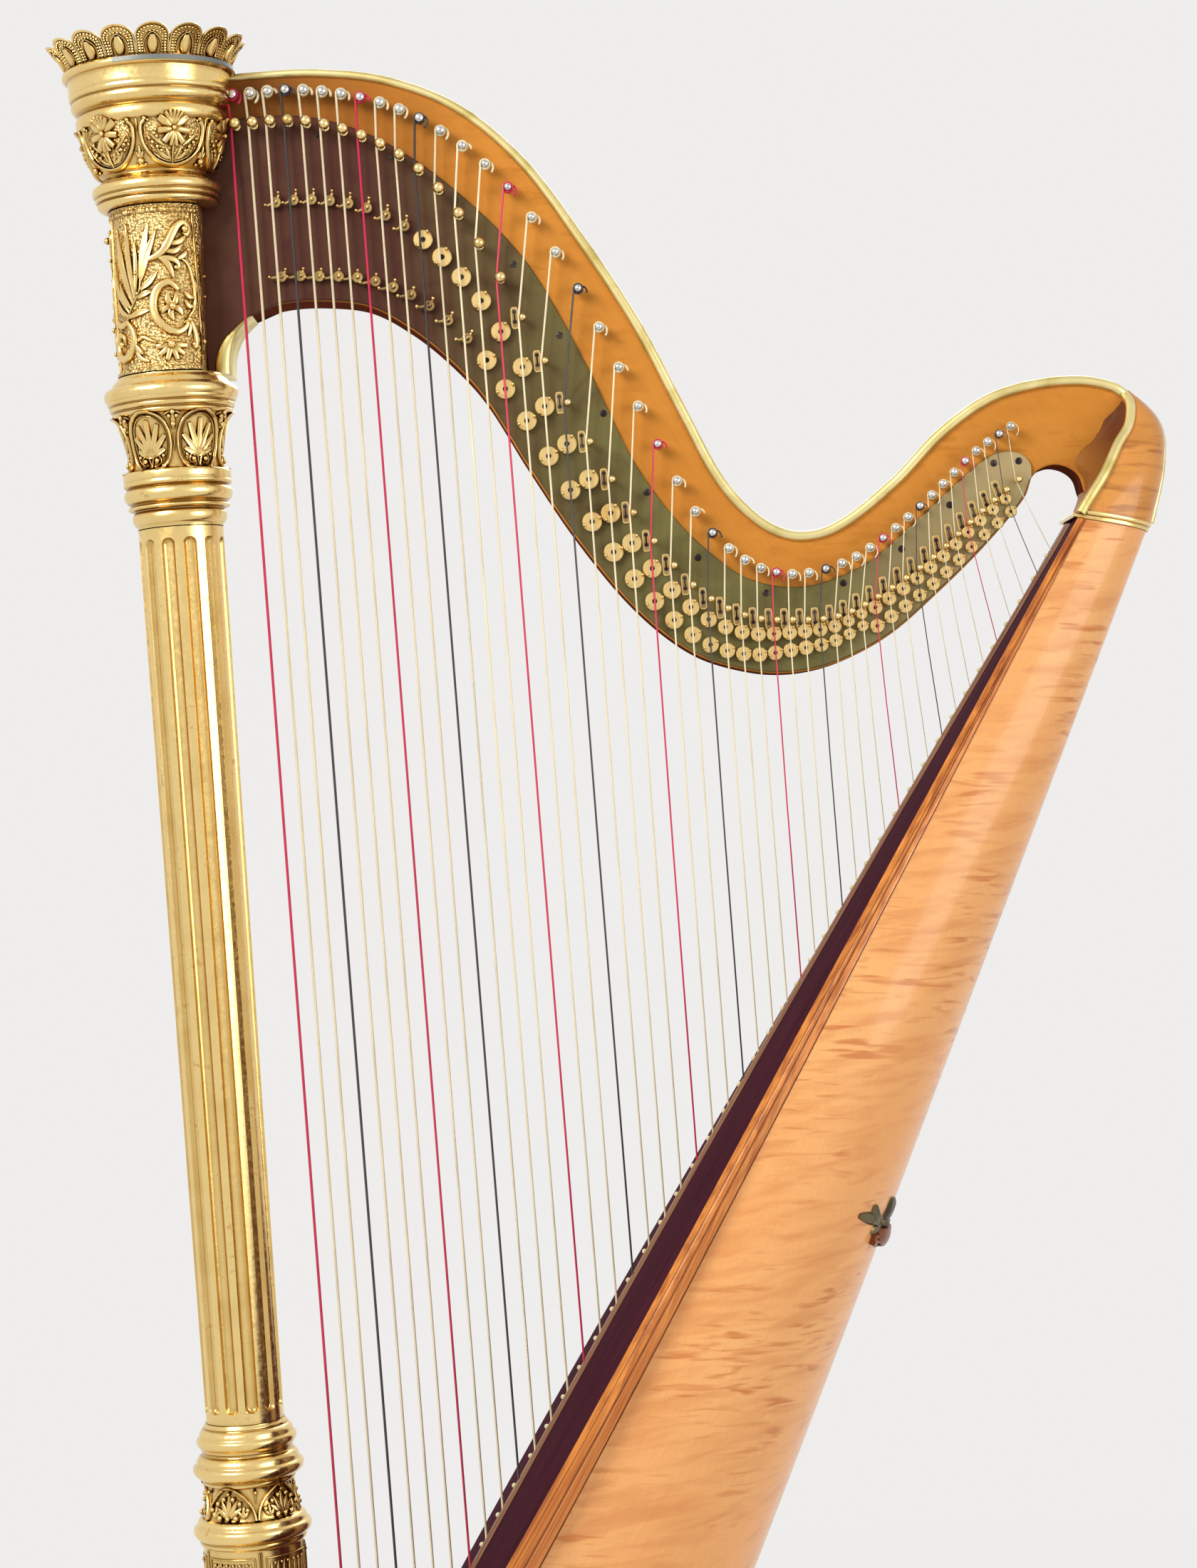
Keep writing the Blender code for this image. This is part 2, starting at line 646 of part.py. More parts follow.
def nut_pins():
    """Each string rests beside a pin that stands out of the plate."""
    mesh_data = bmesh.new()
    back = NECK_FACE_Y - GAP - PLATE_THICKNESS / 2.0
    for number in range(1, STRING_COUNT + 1):
        nut = string_nut(number)
        side = NUT_RADIUS + string_radius(number) + GAP
        place = nut + Vector((side, 0.0, 0.0))
        front = place + Vector((0.0, NECK_FACE_Y - PLATE_THICKNESS - NUT_REACH, 0.0))
        add_rod(mesh_data, front, place + Vector((0.0, back, 0.0)), NUT_RADIUS, 6)
    return make_tool("nut_pins", mesh_data)


def fixed_discs():
    """Discs of the strings outside the moving octave."""
    discs = bmesh.new()
    for number in range(FIRST_DISC_STRING, LAST_DISC_STRING + 1):
        if is_moving(number):
            continue
        for lower in (False, True):
            fixed_disc(discs, number, lower)
    return make_tool("fixed_discs", discs)


def spindle_holes():
    holes = bmesh.new()
    radius = SPINDLE_RADIUS + SPINDLE_CLEARANCE
    for number in range(MOVING_OCTAVE, MOVING_OCTAVE + len(NOTES)):
        for lower in (False, True):
            centre = disc_centre(number, lower)
            start = centre + Vector((0.0, NECK_FACE_Y - PLATE_THICKNESS - 0.004, 0.0))
            end = centre + Vector((0.0, NECK_FACE_Y + 0.004, 0.0))
            add_rod(holes, start, end, radius, 8)
    return make_tool("spindle_holes", holes)


def action_plates(envelope):
    outline = plate_outline()
    back = NECK_FACE_Y - GAP
    left = make_object("action_plate_left", prism(outline, back - PLATE_THICKNESS, back),
                       PLATE_BRASS, 30)
    boolean(left, envelope, "DIFFERENCE")
    boolean(left, nut_pins(), "UNION")
    boolean(left, fixed_discs(), "UNION")
    boolean(left, spindle_holes(), "DIFFERENCE")
    front = NECK_FACE_Y + NECK_THICKNESS + GAP
    right = make_object("action_plate_right", prism(outline, front, front + PLATE_THICKNESS),
                        PLATE_BRASS, 30)
    boolean(right, envelope, "DIFFERENCE")
    return left, right


def moving_discs():
    for step, note in enumerate(NOTES):
        number = MOVING_OCTAVE + step
        for lower in (False, True):
            centre = disc_centre(number, lower)
            radius = disc_radius(number)
            mesh_data = bmesh.new()
            face = Vector((0.0, DISC_FACE_Y, 0.0))
            back = Vector((0.0, DISC_FACE_Y + DISC_THICKNESS, 0.0))
            add_rod(mesh_data, centre + face, centre + back, radius, 10)
            spindle = make_spindle(centre)
            prongs = bmesh.new()
            add_prongs(prongs, number, lower, 4)
            name = ("lower" if lower else "upper") + "_disc_" + note.lower()
            disc = make_object(name, mesh_data, DISC_BRASS, 40)
            boolean(disc, spindle, "UNION")
            boolean(disc, make_tool(name + "_prongs", prongs), "UNION")


def make_spindle(centre):
    mesh_data = bmesh.new()
    start = Vector((0.0, DISC_FACE_Y + DISC_THICKNESS / 2.0, 0.0))
    end = Vector((0.0, NECK_FACE_Y - GAP, 0.0))
    add_rod(mesh_data, centre + start, centre + end, SPINDLE_RADIUS, 8)
    return make_tool("spindle", mesh_data)


# Body

def station(share):
    """A section plane of the body: front point, direction to the back, depth factor."""
    lean = math.tan(math.radians(CHORD_LEAN_DEG))
    low_z = BASE_TOP + GAP
    z = low_z + (BODY_TOP - low_z) * share
    front = Vector((CHORD_FOOT[0] + (z - CHORD_FOOT[1]) * lean, 0.0, z))
    tilt = math.radians(BODY_TOP_TILT_DEG) * share
    toward_back = Vector((math.cos(tilt), 0.0, -math.sin(tilt)))
    factor = math.cos(math.radians(CHORD_LEAN_DEG) - tilt)
    along = (front - chord_point(0.0)).dot(SUN)
    return front, toward_back, factor, along


def body_point(share, depth, y):
    front, toward_back, factor, _ = station(share)
    return front + toward_back * (depth / factor) + Vector((0.0, y, 0.0))


def board_half_width(share):
    return blend(BOARD_HALF_WIDTHS, share)


def shell_half_width(share):
    swell = math.sin(math.pi * min(1.0, share / 0.62)) if share < 0.62 else 0.0
    return board_half_width(share) - 0.0015 - WING_OVERHANG * max(0.0, swell)


def back_depth(share):
    """Depth of the shell's back in its own section plane."""
    front, toward_back, factor, along = station(share)
    rate = BACK_TAPER
    across = toward_back.dot(SUN) / factor
    return (BACK_DEPTH_AT_FOOT - rate * along) / (1.0 + rate * across)


def moulding_depth(share):
    return MOULDING_FOOT_DEPTH + (MOULDING_TOP_DEPTH - MOULDING_FOOT_DEPTH) * share


def board_front(share, y):
    """Depth of the bellied soundboard's front at a distance from its middle."""
    _, _, _, along = station(share)
    swell = 1.0 - (y / board_half_width(share)) ** 2
    return RIB_THICKNESS - belly_at(along) * swell


BODY_STATIONS = (0.0, 0.08, 0.18, 0.28, 0.38, 0.50, 0.62, 0.74, 0.86, 1.0)


def soundboard():
    mesh_data = bmesh.new()
    rings = []
    for share in BODY_STATIONS:
        half = board_half_width(share)
        marks = [half * step / 3.0 for step in range(-3, 4)]
        ring = [body_point(share, board_front(share, y), y) for y in marks]
        ring += [body_point(share, board_front(share, y) + SOUNDBOARD_THICKNESS, y)
                 for y in reversed(marks)]
        rings.append(ring)
    loft(mesh_data, rings)
    return make_object("soundboard", mesh_data, SPRUCE, 30)


def rib_half_width(share):
    return RIB_HALF_WIDTH_FOOT + (RIB_HALF_WIDTH_TOP - RIB_HALF_WIDTH_FOOT) * share


def strings_and_rib():
    """The centre strip of the soundboard with the strings that rise from it."""
    mesh_data = bmesh.new()
    rings = []
    for step in range(13):
        share = 0.002 + 0.996 * step / 12.0
        _, _, _, along = station(share)
        half = rib_half_width(share)
        top = -belly_at(along)
        back = board_front(share, half) - 2.0 * GAP
        middle = board_front(share, 0.0) - 2.0 * GAP
        rings.append([body_point(share, back, -half), body_point(share, middle, 0.0),
                      body_point(share, back, half), body_point(share, top, half * 0.6),
                      body_point(share, top, -half * 0.6)])
    loft(mesh_data, rings)
    rib = make_object("strings_and_rib", mesh_data, STRING_GUT, 40)
    wires = bmesh.new()
    for number in range(1, STRING_COUNT + 1):
        add_string(wires, number)
    return boolean(rib, make_tool("wires", wires), "UNION")


def add_string(mesh_data, number):
    """From the rib past the nut and up beside the tuning pin."""
    radius = string_radius(number)
    foot = string_foot(number) - OUTWARD * (1.2 * MM)
    nut = string_nut(number)
    pin = string_pin(number)
    end = pin + Vector((-(PIN_RADIUS + radius + GAP), 0.002, -0.002))
    rings = []
    along = (nut - foot).normalized()
    for place in (foot, nut, end):
        side = along.cross(Vector((0.0, 1.0, 0.0))).normalized()
        ring = []
        for step in range(5):
            angle = 2.0 * math.pi * step / 5.0
            ring.append(place + radius * (math.cos(angle) * side
                                          + math.sin(angle) * Vector((0.0, 1.0, 0.0))))
        rings.append(ring)
    loft(mesh_data, rings)


def side_moulding(name, sign):
    """The strip under the soundboard's edge, which deepens toward the foot."""
    mesh_data = bmesh.new()
    rings = []
    for share in BODY_STATIONS:
        half = board_half_width(share)
        shell = shell_half_width(share)
        inner = min(shell, half) - MOULDING_WIDTH
        top = RIB_THICKNESS + SOUNDBOARD_THICKNESS + GAP
        deep = moulding_depth(share)
        middle = (top + deep) / 2.0
        section = [(inner, top), (half, top), (half, middle - 0.001), (half - 0.0015, middle),
                   (shell + 0.0012, deep), (inner, deep)]
        rings.append([body_point(share, depth, sign * y) for y, depth in section])
    loft(mesh_data, rings)
    return make_object(name, mesh_data, EDGE_WOOD, 30)


def shell_profile(share, inset=0.0, steps=12):
    """Half round section of the shell from one side to the other, as (depth, y)."""
    start = moulding_depth(share) + GAP
    depth = back_depth(share) - start - inset
    half = shell_half_width(share) - inset
    points = []
    for step in range(steps + 1):
        angle = math.pi * step / steps
        y = -half * math.copysign(abs(math.cos(angle)) ** 0.87, math.cos(angle))
        points.append((start + depth * math.sin(angle) ** 0.87, y))
    return points


def shell_ring(share):
    half = shell_half_width(share)
    front = RIB_THICKNESS + SOUNDBOARD_THICKNESS + GAP
    tuck = min(half, board_half_width(share)) - MOULDING_WIDTH - GAP
    outer = [(front, -tuck), (moulding_depth(share) + GAP, -tuck)]
    outer += shell_profile(share)
    outer += [(moulding_depth(share) + GAP, tuck), (front, tuck)]
    inner_half = tuck - SHELL_WALL
    inner = [(front, inner_half), (moulding_depth(share) + SHELL_WALL, inner_half)]
    round_part = shell_profile(share, SHELL_WALL)
    inner += [(depth + SHELL_WALL * 0.5, y) for depth, y in reversed(round_part)][1:-1]
    inner += [(moulding_depth(share) + SHELL_WALL, -inner_half), (front, -inner_half)]
    return [body_point(share, depth, y) for depth, y in outer + inner]


def sound_hole_share(index):
    return 0.13 + 0.165 * index


def sound_holes():
    """Long oval openings down the middle of the shell's back."""
    mesh_data = bmesh.new()
    for index in range(SOUND_HOLES):
        share = sound_hole_share(index)
        long_half = 0.052 - 0.005 * index
        wide_half = 0.036 - 0.005 * index
        centre = body_point(share, back_depth(share), 0.0)
        above = body_point(share + 0.05, back_depth(share + 0.05), 0.0)
        up = (above - centre).normalized()
        out = Vector((up.z, 0.0, -up.x))
        rings = []
        for reach in (-0.035, 0.03):
            ring = []
            for step in range(12):
                angle = 2.0 * math.pi * step / 12.0
                ring.append(centre + out * reach + up * (long_half * math.cos(angle))
                            + Vector((0.0, wide_half * math.sin(angle), 0.0)))
            rings.append(ring)
        loft(mesh_data, rings)
    return make_tool("sound_holes", mesh_data)


def body_shell():
    mesh_data = bmesh.new()
    loft(mesh_data, [shell_ring(share) for share in BODY_STATIONS])
    shell = make_object("body_shell", mesh_data, SHELL_WOOD, 30)
    return boolean(shell, sound_holes(), "DIFFERENCE")


def inner_section(share, margin):
    """Outline of the shell's hollow, drawn in by a margin."""
    tuck = min(shell_half_width(share), board_half_width(share)) - MOULDING_WIDTH
    side = tuck - GAP - SHELL_WALL - margin
    front = RIB_THICKNESS + SOUNDBOARD_THICKNESS + GAP * 2.0
    points = [(front, -side), (moulding_depth(share) + SHELL_WALL, -side)]
    for depth, y in shell_profile(share, SHELL_WALL + margin)[1:-1]:
        points.append((depth + SHELL_WALL * 0.5, max(-side, min(side, y))))
    points += [(moulding_depth(share) + SHELL_WALL, side), (front, side)]
    return points


def inner_ring(share, margin):
    """The hollow's outline anywhere, on the straight lines between the shell's stations."""
    above = next(mark for mark in BODY_STATIONS[1:] if share <= mark)
    below = BODY_STATIONS[BODY_STATIONS.index(above) - 1]
    rings = []
    for mark in (below, above):
        section = inner_section(mark, margin)
        front = section[0][0] + margin
        rings.append([body_point(mark, max(depth, front), y) for depth, y in section])
    t = (share - below) / (above - below)
    return [low.lerp(high, t) for low, high in zip(*rings)]


def solid_block(name, low_share, high_share):
    """A block that fills the shell between two stations."""
    mesh_data = bmesh.new()
    loft(mesh_data, [inner_ring(share, BLOCK_CLEARANCE) for share in (low_share, high_share)])
    return make_object(name, mesh_data, DARK_WOOD, 30)


def shell_brace(index):
    """A hoop inside the shell, between two sound holes."""
    share = (sound_hole_share(index) + sound_hole_share(index + 1)) / 2.0
    thickness = 0.008
    mesh_data = bmesh.new()
    loft(mesh_data, [inner_ring(share + offset, margin)
                     for margin, offset in ((BRACE_CLEARANCE, 0.0), (BRACE_CLEARANCE, thickness),
                                            (0.016, thickness), (0.016, 0.0))], closed=True)
    return make_object("shell_brace_" + str(index + 1), mesh_data, DARK_WOOD, 30)


def knee_band():
    """The gilt band between the body and the knee, square to the body's top plane."""
    mesh_data = bmesh.new()
    _, toward_back, _, _ = station(1.0)
    normal = Vector((-toward_back.z, 0.0, toward_back.x))
    section = [(-0.001, -shell_half_width(1.0) - 0.002)]
    for depth, y in shell_profile(1.0, -0.002):
        section.append((depth, y))
    section.append((-0.001, shell_half_width(1.0) + 0.002))
    rings = []
    for rise in (GAP, GAP + BAND_THICKNESS):
        rings.append([body_point(1.0, depth, y) + normal * rise for depth, y in section])
    loft(mesh_data, rings)
    return make_object("knee_band", mesh_data, GILT, 30)


def leaf_mount():
    """A cast leaf on the shell's left side, near the back."""
    mesh_data = bmesh.new()
    share = 0.478
    length = 0.046
    rings = []
    for lift, shrink in ((-0.0020, 1.0), (0.0028, 0.88), (0.0042, 0.45), (0.0046, 0.12)):
        ring = []
        for step in range(16):
            angle = 2.0 * math.pi * step / 16.0
            along = math.cos(angle) * length / 2.0 * shrink
            wide = math.sin(angle) * 0.014 * shrink * (1.0 + 0.45 * math.cos(angle))
            place = share + along / (BODY_TOP - BASE_TOP) * 0.9
            surface = shell_side_point(place, 0.36 + wide / 0.30)
            normal = surface - shell_side_point(place, 0.36 + wide / 0.30, 0.004)
            ring.append(surface + normal.normalized() * lift)
        rings.append(ring)
    loft(mesh_data, rings)
    mount = make_object("leaf_mount", mesh_data, BRONZE, 30)
    envelope = bmesh.new()
    loft(envelope, [[body_point(mark, depth, y) for depth, y in shell_profile(mark, -GAP)]
                    for mark in BODY_STATIONS[4:7]])
    return boolean(mount, make_tool("shell_envelope", envelope), "DIFFERENCE")


def shell_side_point(share, turn, inset=0.0):
    """A point on the shell's left half; turn runs from 0 at the side to 0.5 at the back."""
    start = moulding_depth(share) + GAP
    depth = back_depth(share) - start - inset
    half = shell_half_width(share) - inset
    angle = math.pi * turn
    y = -half * abs(math.cos(angle)) ** 0.87
    return body_point(share, start + depth * math.sin(angle) ** 0.87, y)


def body():
    soundboard()
    strings_and_rib()
    side_moulding("side_moulding_left", -1.0)
    side_moulding("side_moulding_right", 1.0)
    body_shell()
    solid_block("bottom_block", 0.0, 0.035)
    solid_block("top_block", 0.93, 1.0)
    for index in range(SHELL_BRACES):
        shell_brace(index)
    knee_band()
    leaf_mount()


# Base and pedals

BASE_OUTLINE = (
    (-0.0780, 0.0000), (-0.0700, 0.0360), (-0.0460, 0.0660), (-0.0100, 0.0850),
    (0.0120, 0.1150), (0.0220, 0.1500), (0.0500, 0.1760), (0.1100, 0.1900),
    (0.2100, 0.1950), (0.3300, 0.1930), (0.4150, 0.1860), (0.4460, 0.1680),
    (0.4550, 0.1450), (0.4550, 0.0000),
)


def base_ring(grow, z):
    """The base's plan, grown outward by a distance."""
    half = inset_line(BASE_OUTLINE, grow)
    half[0] = (BASE_OUTLINE[0][0] - grow, 0.0)
    half[-1] = (BASE_OUTLINE[-1][0] + grow, 0.0)
    points = [Vector((x, y, z)) for x, y in half]
    points += [Vector((x, -y, z)) for x, y in reversed(half[1:-1])]
    return points


def base_frame():
    mesh_data = bmesh.new()
    ceiling = BASE_TOP - BASE_CEILING
    rings = [
        base_ring(-BASE_WALL, ceiling), base_ring(-BASE_WALL, BASE_BOTTOM),
        base_ring(0.0040, BASE_BOTTOM), base_ring(0.0040, BASE_BOTTOM + 0.022),
        base_ring(0.0, BASE_BOTTOM + 0.030), base_ring(0.0, BASE_TOP - 0.020),
        base_ring(0.0040, BASE_TOP - 0.012), base_ring(0.0040, BASE_TOP - 0.003),
        base_ring(0.0010, BASE_TOP),
    ]
    loft(mesh_data, rings)
    base = make_object("base_frame", mesh_data, GILT, 30)
    return boolean(base, base_cutter(), "DIFFERENCE")


def pedal_places():
    """Sideways place of each pedal at the rod, at the axle and at the rear slot."""
    left = 3
    width = PEDAL_SPLIT + PEDAL_SPACING * (len(PEDALS) - 2)
    places = []
    for index in range(len(PEDALS)):
        outer = -width / 2.0 + PEDAL_SPACING * index
        if index >= left:
            outer += PEDAL_SPLIT - PEDAL_SPACING
        centred = index - (len(PEDALS) - 1) / 2.0
        places.append((centred * ROD_SPACING, centred * 0.018, outer))
    return places


def add_box(mesh_data, low, high):
    rings = []
    for z in (low[2], high[2]):
        rings.append([Vector((low[0], low[1], z)), Vector((high[0], low[1], z)),
                      Vector((high[0], high[1], z)), Vector((low[0], high[1], z))])
    loft(mesh_data, rings)


def base_cutter():
    """Slots for the pedals at the rear and one for the rods under the column."""
    mesh_data = bmesh.new()
    slot_half = PEDAL_WIDTH / 2.0 + 0.0020
    for _, _, outer in pedal_places():
        add_box(mesh_data, (BASE_REAR_X - 0.022, outer - slot_half, 0.0800),
                (BASE_REAR_X + 0.012, outer + slot_half, 0.1610))
    rod_half = 3.0 * ROD_SPACING + ROD_RADIUS + 0.0016
    add_box(mesh_data, (-0.0050, -rod_half, BASE_TOP - BASE_CEILING - 0.004),
            (0.0050, rod_half, BASE_TOP + 0.004))
    return make_tool("base_cutter", mesh_data)


def base_cover():
    mesh_data = bmesh.new()
    grow = -BASE_WALL - 2.0 * GAP
    loft(mesh_data, [base_ring(grow, BASE_BOTTOM), base_ring(grow, BASE_BOTTOM + BASE_COVER)])
    return make_object("base_cover", mesh_data, DARK_WOOD, 30)


def feet():
    profile = ((0.80, 0.0), (0.97, 0.006), (1.0, 0.016), (0.80, 0.027), (0.92, FOOT_HEIGHT))
    for name, x, y in (("foot_front_left", 0.045, -0.140), ("foot_front_right", 0.045, 0.140),
                       ("foot_rear_left", 0.395, -0.150), ("foot_rear_right", 0.395, 0.150)):
        scaled = [(share * FOOT_RADIUS, z) for share, z in profile]
        make_object(name, turned(scaled, 14, centre=(x, y)), GILT, 40)


def axle_and_pedals():
    axle_half = base_half_width_at(PEDAL_AXLE_X) - BASE_WALL - 0.002
    mesh_data = bmesh.new()
    centre = Vector((PEDAL_AXLE_X, 0.0, PEDAL_AXLE_Z))
    side = Vector((0.0, axle_half, 0.0))
    add_rod(mesh_data, centre - side, centre + side, PEDAL_AXLE_RADIUS, 12)
    make_object("pedal_axle", mesh_data, STEEL, 40)
    for index, note in enumerate(PEDALS):
        pedal(index, note)
        pull_rod(index, note)


def base_half_width_at(x):
    for before, after in zip(BASE_OUTLINE, BASE_OUTLINE[1:]):
        if before[0] <= x <= after[0]:
            share = (x - before[0]) / (after[0] - before[0])
            return before[1] + (after[1] - before[1]) * share
    return BASE_HALF_WIDTH


def pedal(index, note):
    """A lever: pad under the rod, boss on the axle, arm out of the slot, foot plate."""
    rod_y, axle_y, slot_y = pedal_places()[index]
    axle_z = PEDAL_AXLE_Z
    half = PEDAL_WIDTH / 2.0
    tip = PEDAL_TIP_X
    stations = (
        (-0.0050, rod_y, axle_z, 0.0028, 0.0045), (0.0180, rod_y, axle_z, 0.0028, 0.0045),
        (PEDAL_AXLE_X, axle_y, axle_z, half - 0.0005, 0.0060),
        (0.3300, slot_y, 0.1450, half, 0.0060), (0.4780, slot_y, 0.1500, half, 0.0058),
        (tip - 0.0660, slot_y, 0.1490, half + 0.0020, 0.0050),
        (tip - 0.0560, slot_y, 0.1460, 0.0150, 0.0042), (tip - 0.0240, slot_y, 0.1410, 0.0175, 0.0042),
        (tip - 0.0050, slot_y, 0.1370, 0.0140, 0.0040), (tip, slot_y, 0.1358, 0.0090, 0.0034),
    )
    mesh_data = bmesh.new()
    rings = []
    for x, y, z, wide, tall in stations:
        rings.append([Vector((x, y - wide, z - tall)), Vector((x, y + wide, z - tall)),
                      Vector((x, y + wide, z + tall)), Vector((x, y - wide, z + tall))])
    loft(mesh_data, rings)
    lever = make_object("pedal_" + note, mesh_data, BRONZE, 30)
    boss = bmesh.new()
    centre = Vector((PEDAL_AXLE_X, axle_y, axle_z))
    boss_side = Vector((0.0, 0.0058, 0.0))
    add_rod(boss, centre - boss_side, centre + boss_side, 0.0095, 10)
    boolean(lever, make_tool("boss_" + note, boss), "UNION")
    bore = bmesh.new()
    bore_side = Vector((0.0, 0.0090, 0.0))
    add_rod(bore, centre - bore_side, centre + bore_side, PEDAL_AXLE_RADIUS + 0.0005, 12)
    return boolean(lever, make_tool("bore_" + note, bore), "DIFFERENCE")


def pull_rod(index, note):
    rod_y = pedal_places()[index][0]
    mesh_data = bmesh.new()
    low = Vector((0.0, rod_y, PEDAL_AXLE_Z + 0.0045 + ROD_CLEARANCE))
    high = Vector((0.0, rod_y, ROD_TOP))
    add_rod(mesh_data, low, high, ROD_RADIUS, 6)
    return make_object("rod_" + note, mesh_data, STEEL, 40)


def base():
    base_frame()
    base_cover()
    feet()
    axle_and_pedals()


def centre_on_origin():
    """Stand the harp on Z = 0 with the middle of its box over the origin."""
    bpy.context.view_layer.update()
    graph = bpy.context.evaluated_depsgraph_get()
    low = Vector((1e9, 1e9, 1e9))
    high = -low
    pieces = [item for item in bpy.context.scene.objects if not item.hide_render]
    for item in pieces:
        shape = item.evaluated_get(graph)
        for corner in shape.bound_box:
            place = shape.matrix_world @ Vector(corner)
            low = Vector(map(min, low, place))
            high = Vector(map(max, high, place))
    root = bpy.data.objects.new("harp", None)
    bpy.context.scene.collection.objects.link(root)
    for item in list(bpy.context.scene.objects):
        if item is not root:
            item.parent = root
    root.location = Vector((-(low.x + high.x) / 2.0, -(low.y + high.y) / 2.0, -low.z))
    print("moved by", tuple(round(value, 6) for value in root.location))


def main():
    clear_scene()
    base()
    column()
    body()
    envelope = capital_envelope()
    neck(envelope)
    action_plates(envelope)
    moving_discs()
    centre_on_origin()


main()
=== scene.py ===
"""The harp's finish: carving, strings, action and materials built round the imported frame."""
import math
import random

import bmesh
import bpy
from mathutils import Matrix, Vector
from mathutils.bvhtree import BVHTree


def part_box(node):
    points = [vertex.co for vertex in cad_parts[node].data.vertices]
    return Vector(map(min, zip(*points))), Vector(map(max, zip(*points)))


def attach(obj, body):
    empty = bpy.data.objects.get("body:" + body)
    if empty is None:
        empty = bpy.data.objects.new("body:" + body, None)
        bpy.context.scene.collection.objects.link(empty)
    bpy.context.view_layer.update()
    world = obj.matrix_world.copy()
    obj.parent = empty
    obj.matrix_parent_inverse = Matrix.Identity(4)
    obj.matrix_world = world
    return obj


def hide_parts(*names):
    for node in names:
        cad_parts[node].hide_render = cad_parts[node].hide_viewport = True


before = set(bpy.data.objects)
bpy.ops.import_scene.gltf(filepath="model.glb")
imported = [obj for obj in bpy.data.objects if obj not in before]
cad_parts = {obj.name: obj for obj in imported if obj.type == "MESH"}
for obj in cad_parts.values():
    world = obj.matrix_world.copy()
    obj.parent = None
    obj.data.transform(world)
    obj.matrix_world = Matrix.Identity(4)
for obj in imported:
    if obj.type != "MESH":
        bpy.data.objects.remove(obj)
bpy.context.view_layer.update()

MM = 0.001
AWAY = Vector((1, 0, 0))
RIGHT = Vector((0, 1, 0))
LEFT = -RIGHT
UP = Vector((0, 0, 1))
chance = random.Random(47)
shaft_low, shaft_high = (Vector(corner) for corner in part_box("column_shaft"))
COLUMN_X = (shaft_low.x + shaft_high.x) / 2


def at(x, y, z):
    """A point of the harp's plan, measured from the column's axis, in metres."""
    return Vector((COLUMN_X + x, y, z))


# Materials


class Field:
    """A shader value or colour that can be used in a sum."""

    def __init__(self, nodes, socket):
        self.nodes = nodes
        self.socket = socket

    def __add__(self, other):
        return self.nodes.sum("ADD", self, other)

    def __radd__(self, other):
        return self.nodes.sum("ADD", other, self)

    def __sub__(self, other):
        return self.nodes.sum("SUBTRACT", self, other)

    def __rsub__(self, other):
        return self.nodes.sum("SUBTRACT", other, self)

    def __mul__(self, other):
        return self.nodes.sum("MULTIPLY", self, other)

    def __rmul__(self, other):
        return self.nodes.sum("MULTIPLY", other, self)


class Nodes:
    """A node tree, and the few patterns that the harp's surfaces share."""

    def __init__(self, tree):
        self.tree = tree

    def feed(self, socket, value):
        """Link a field to the socket, or set a number or colour on it."""
        if isinstance(value, Field):
            self.tree.links.new(value.socket, socket)
        else:
            socket.default_value = (*value, 1) if socket.type == "RGBA" else value

    def node(self, kind, settings, sockets, out=0):
        """Any node: its settings first, then the values or links of its sockets."""
        made = self.tree.nodes.new(kind)
        for key, value in settings.items():
            setattr(made, key, value)
        for key, value in sockets.items():
            self.feed(made.inputs[key], value)
        return Field(self, made.outputs[out])

    def place(self, stretch=1, turn=(0, 0, 0)):
        """The point on the surface in metres, turned and stretched for a pattern."""
        here = self.node("ShaderNodeTexCoord", {}, {}, "Object")
        turned_here = self.node("ShaderNodeMapping", {}, {"Vector": here, "Rotation": turn})
        stretch = stretch if isinstance(stretch, tuple) else (stretch,) * 3
        return self.node("ShaderNodeVectorMath", {"operation": "MULTIPLY"},
                         {0: turned_here, 1: stretch})

    def noise(self, stretch, detail=2, twist=0, turn=(0, 0, 0)):
        return self.node("ShaderNodeTexNoise", {},
                         {"Vector": self.place(stretch, turn), "Scale": 1, "Detail": detail,
                          "Distortion": twist})

    def ramp(self, value, *stops):
        made = self.node("ShaderNodeValToRGB", {}, {"Fac": value})
        marks = made.socket.node.color_ramp.elements
        for _ in stops[2:]:
            marks.new(0.5)
        for mark, (place, colour) in zip(marks, stops):
            mark.position = place
            mark.color = (*colour, 1)
        return made

    def sum(self, operation, first, second):
        return self.node("ShaderNodeMath", {"operation": operation}, {0: first, 1: second})

    def mask(self, value, low, high):
        return self.node("ShaderNodeMapRange", {"clamp": True},
                         {"Value": value, "From Min": low, "From Max": high})

    def mix(self, share, first, second):
        return self.node("ShaderNodeMix", {"data_type": "RGBA"},
                         {0: share, 6: first, 7: second}, 2)

    def hollow(self, reach):
        """Low in the grooves of the carving and in recesses, where the gilding gets its painted
        shade.
        """
        return self.node("ShaderNodeAmbientOcclusion", {"samples": 4}, {"Distance": reach}, 1)

    def looked_at(self):
        """1 on the camera's own rays, their reflections and what they pass through."""
        seen, glossy, through = (self.node("ShaderNodeLightPath", {}, {}, f"Is {ray} Ray")
                                 for ray in ("Camera", "Glossy", "Transmission"))
        return self.sum("MAXIMUM", self.sum("MAXIMUM", seen, glossy), through)

    def end(self, output, share, first, second):
        """Send a mixture of two shaders to the tree's output."""
        both = self.node("ShaderNodeMixShader", {}, {0: share, 1: first, 2: second})
        self.feed(self.tree.nodes[output].inputs[0], both)


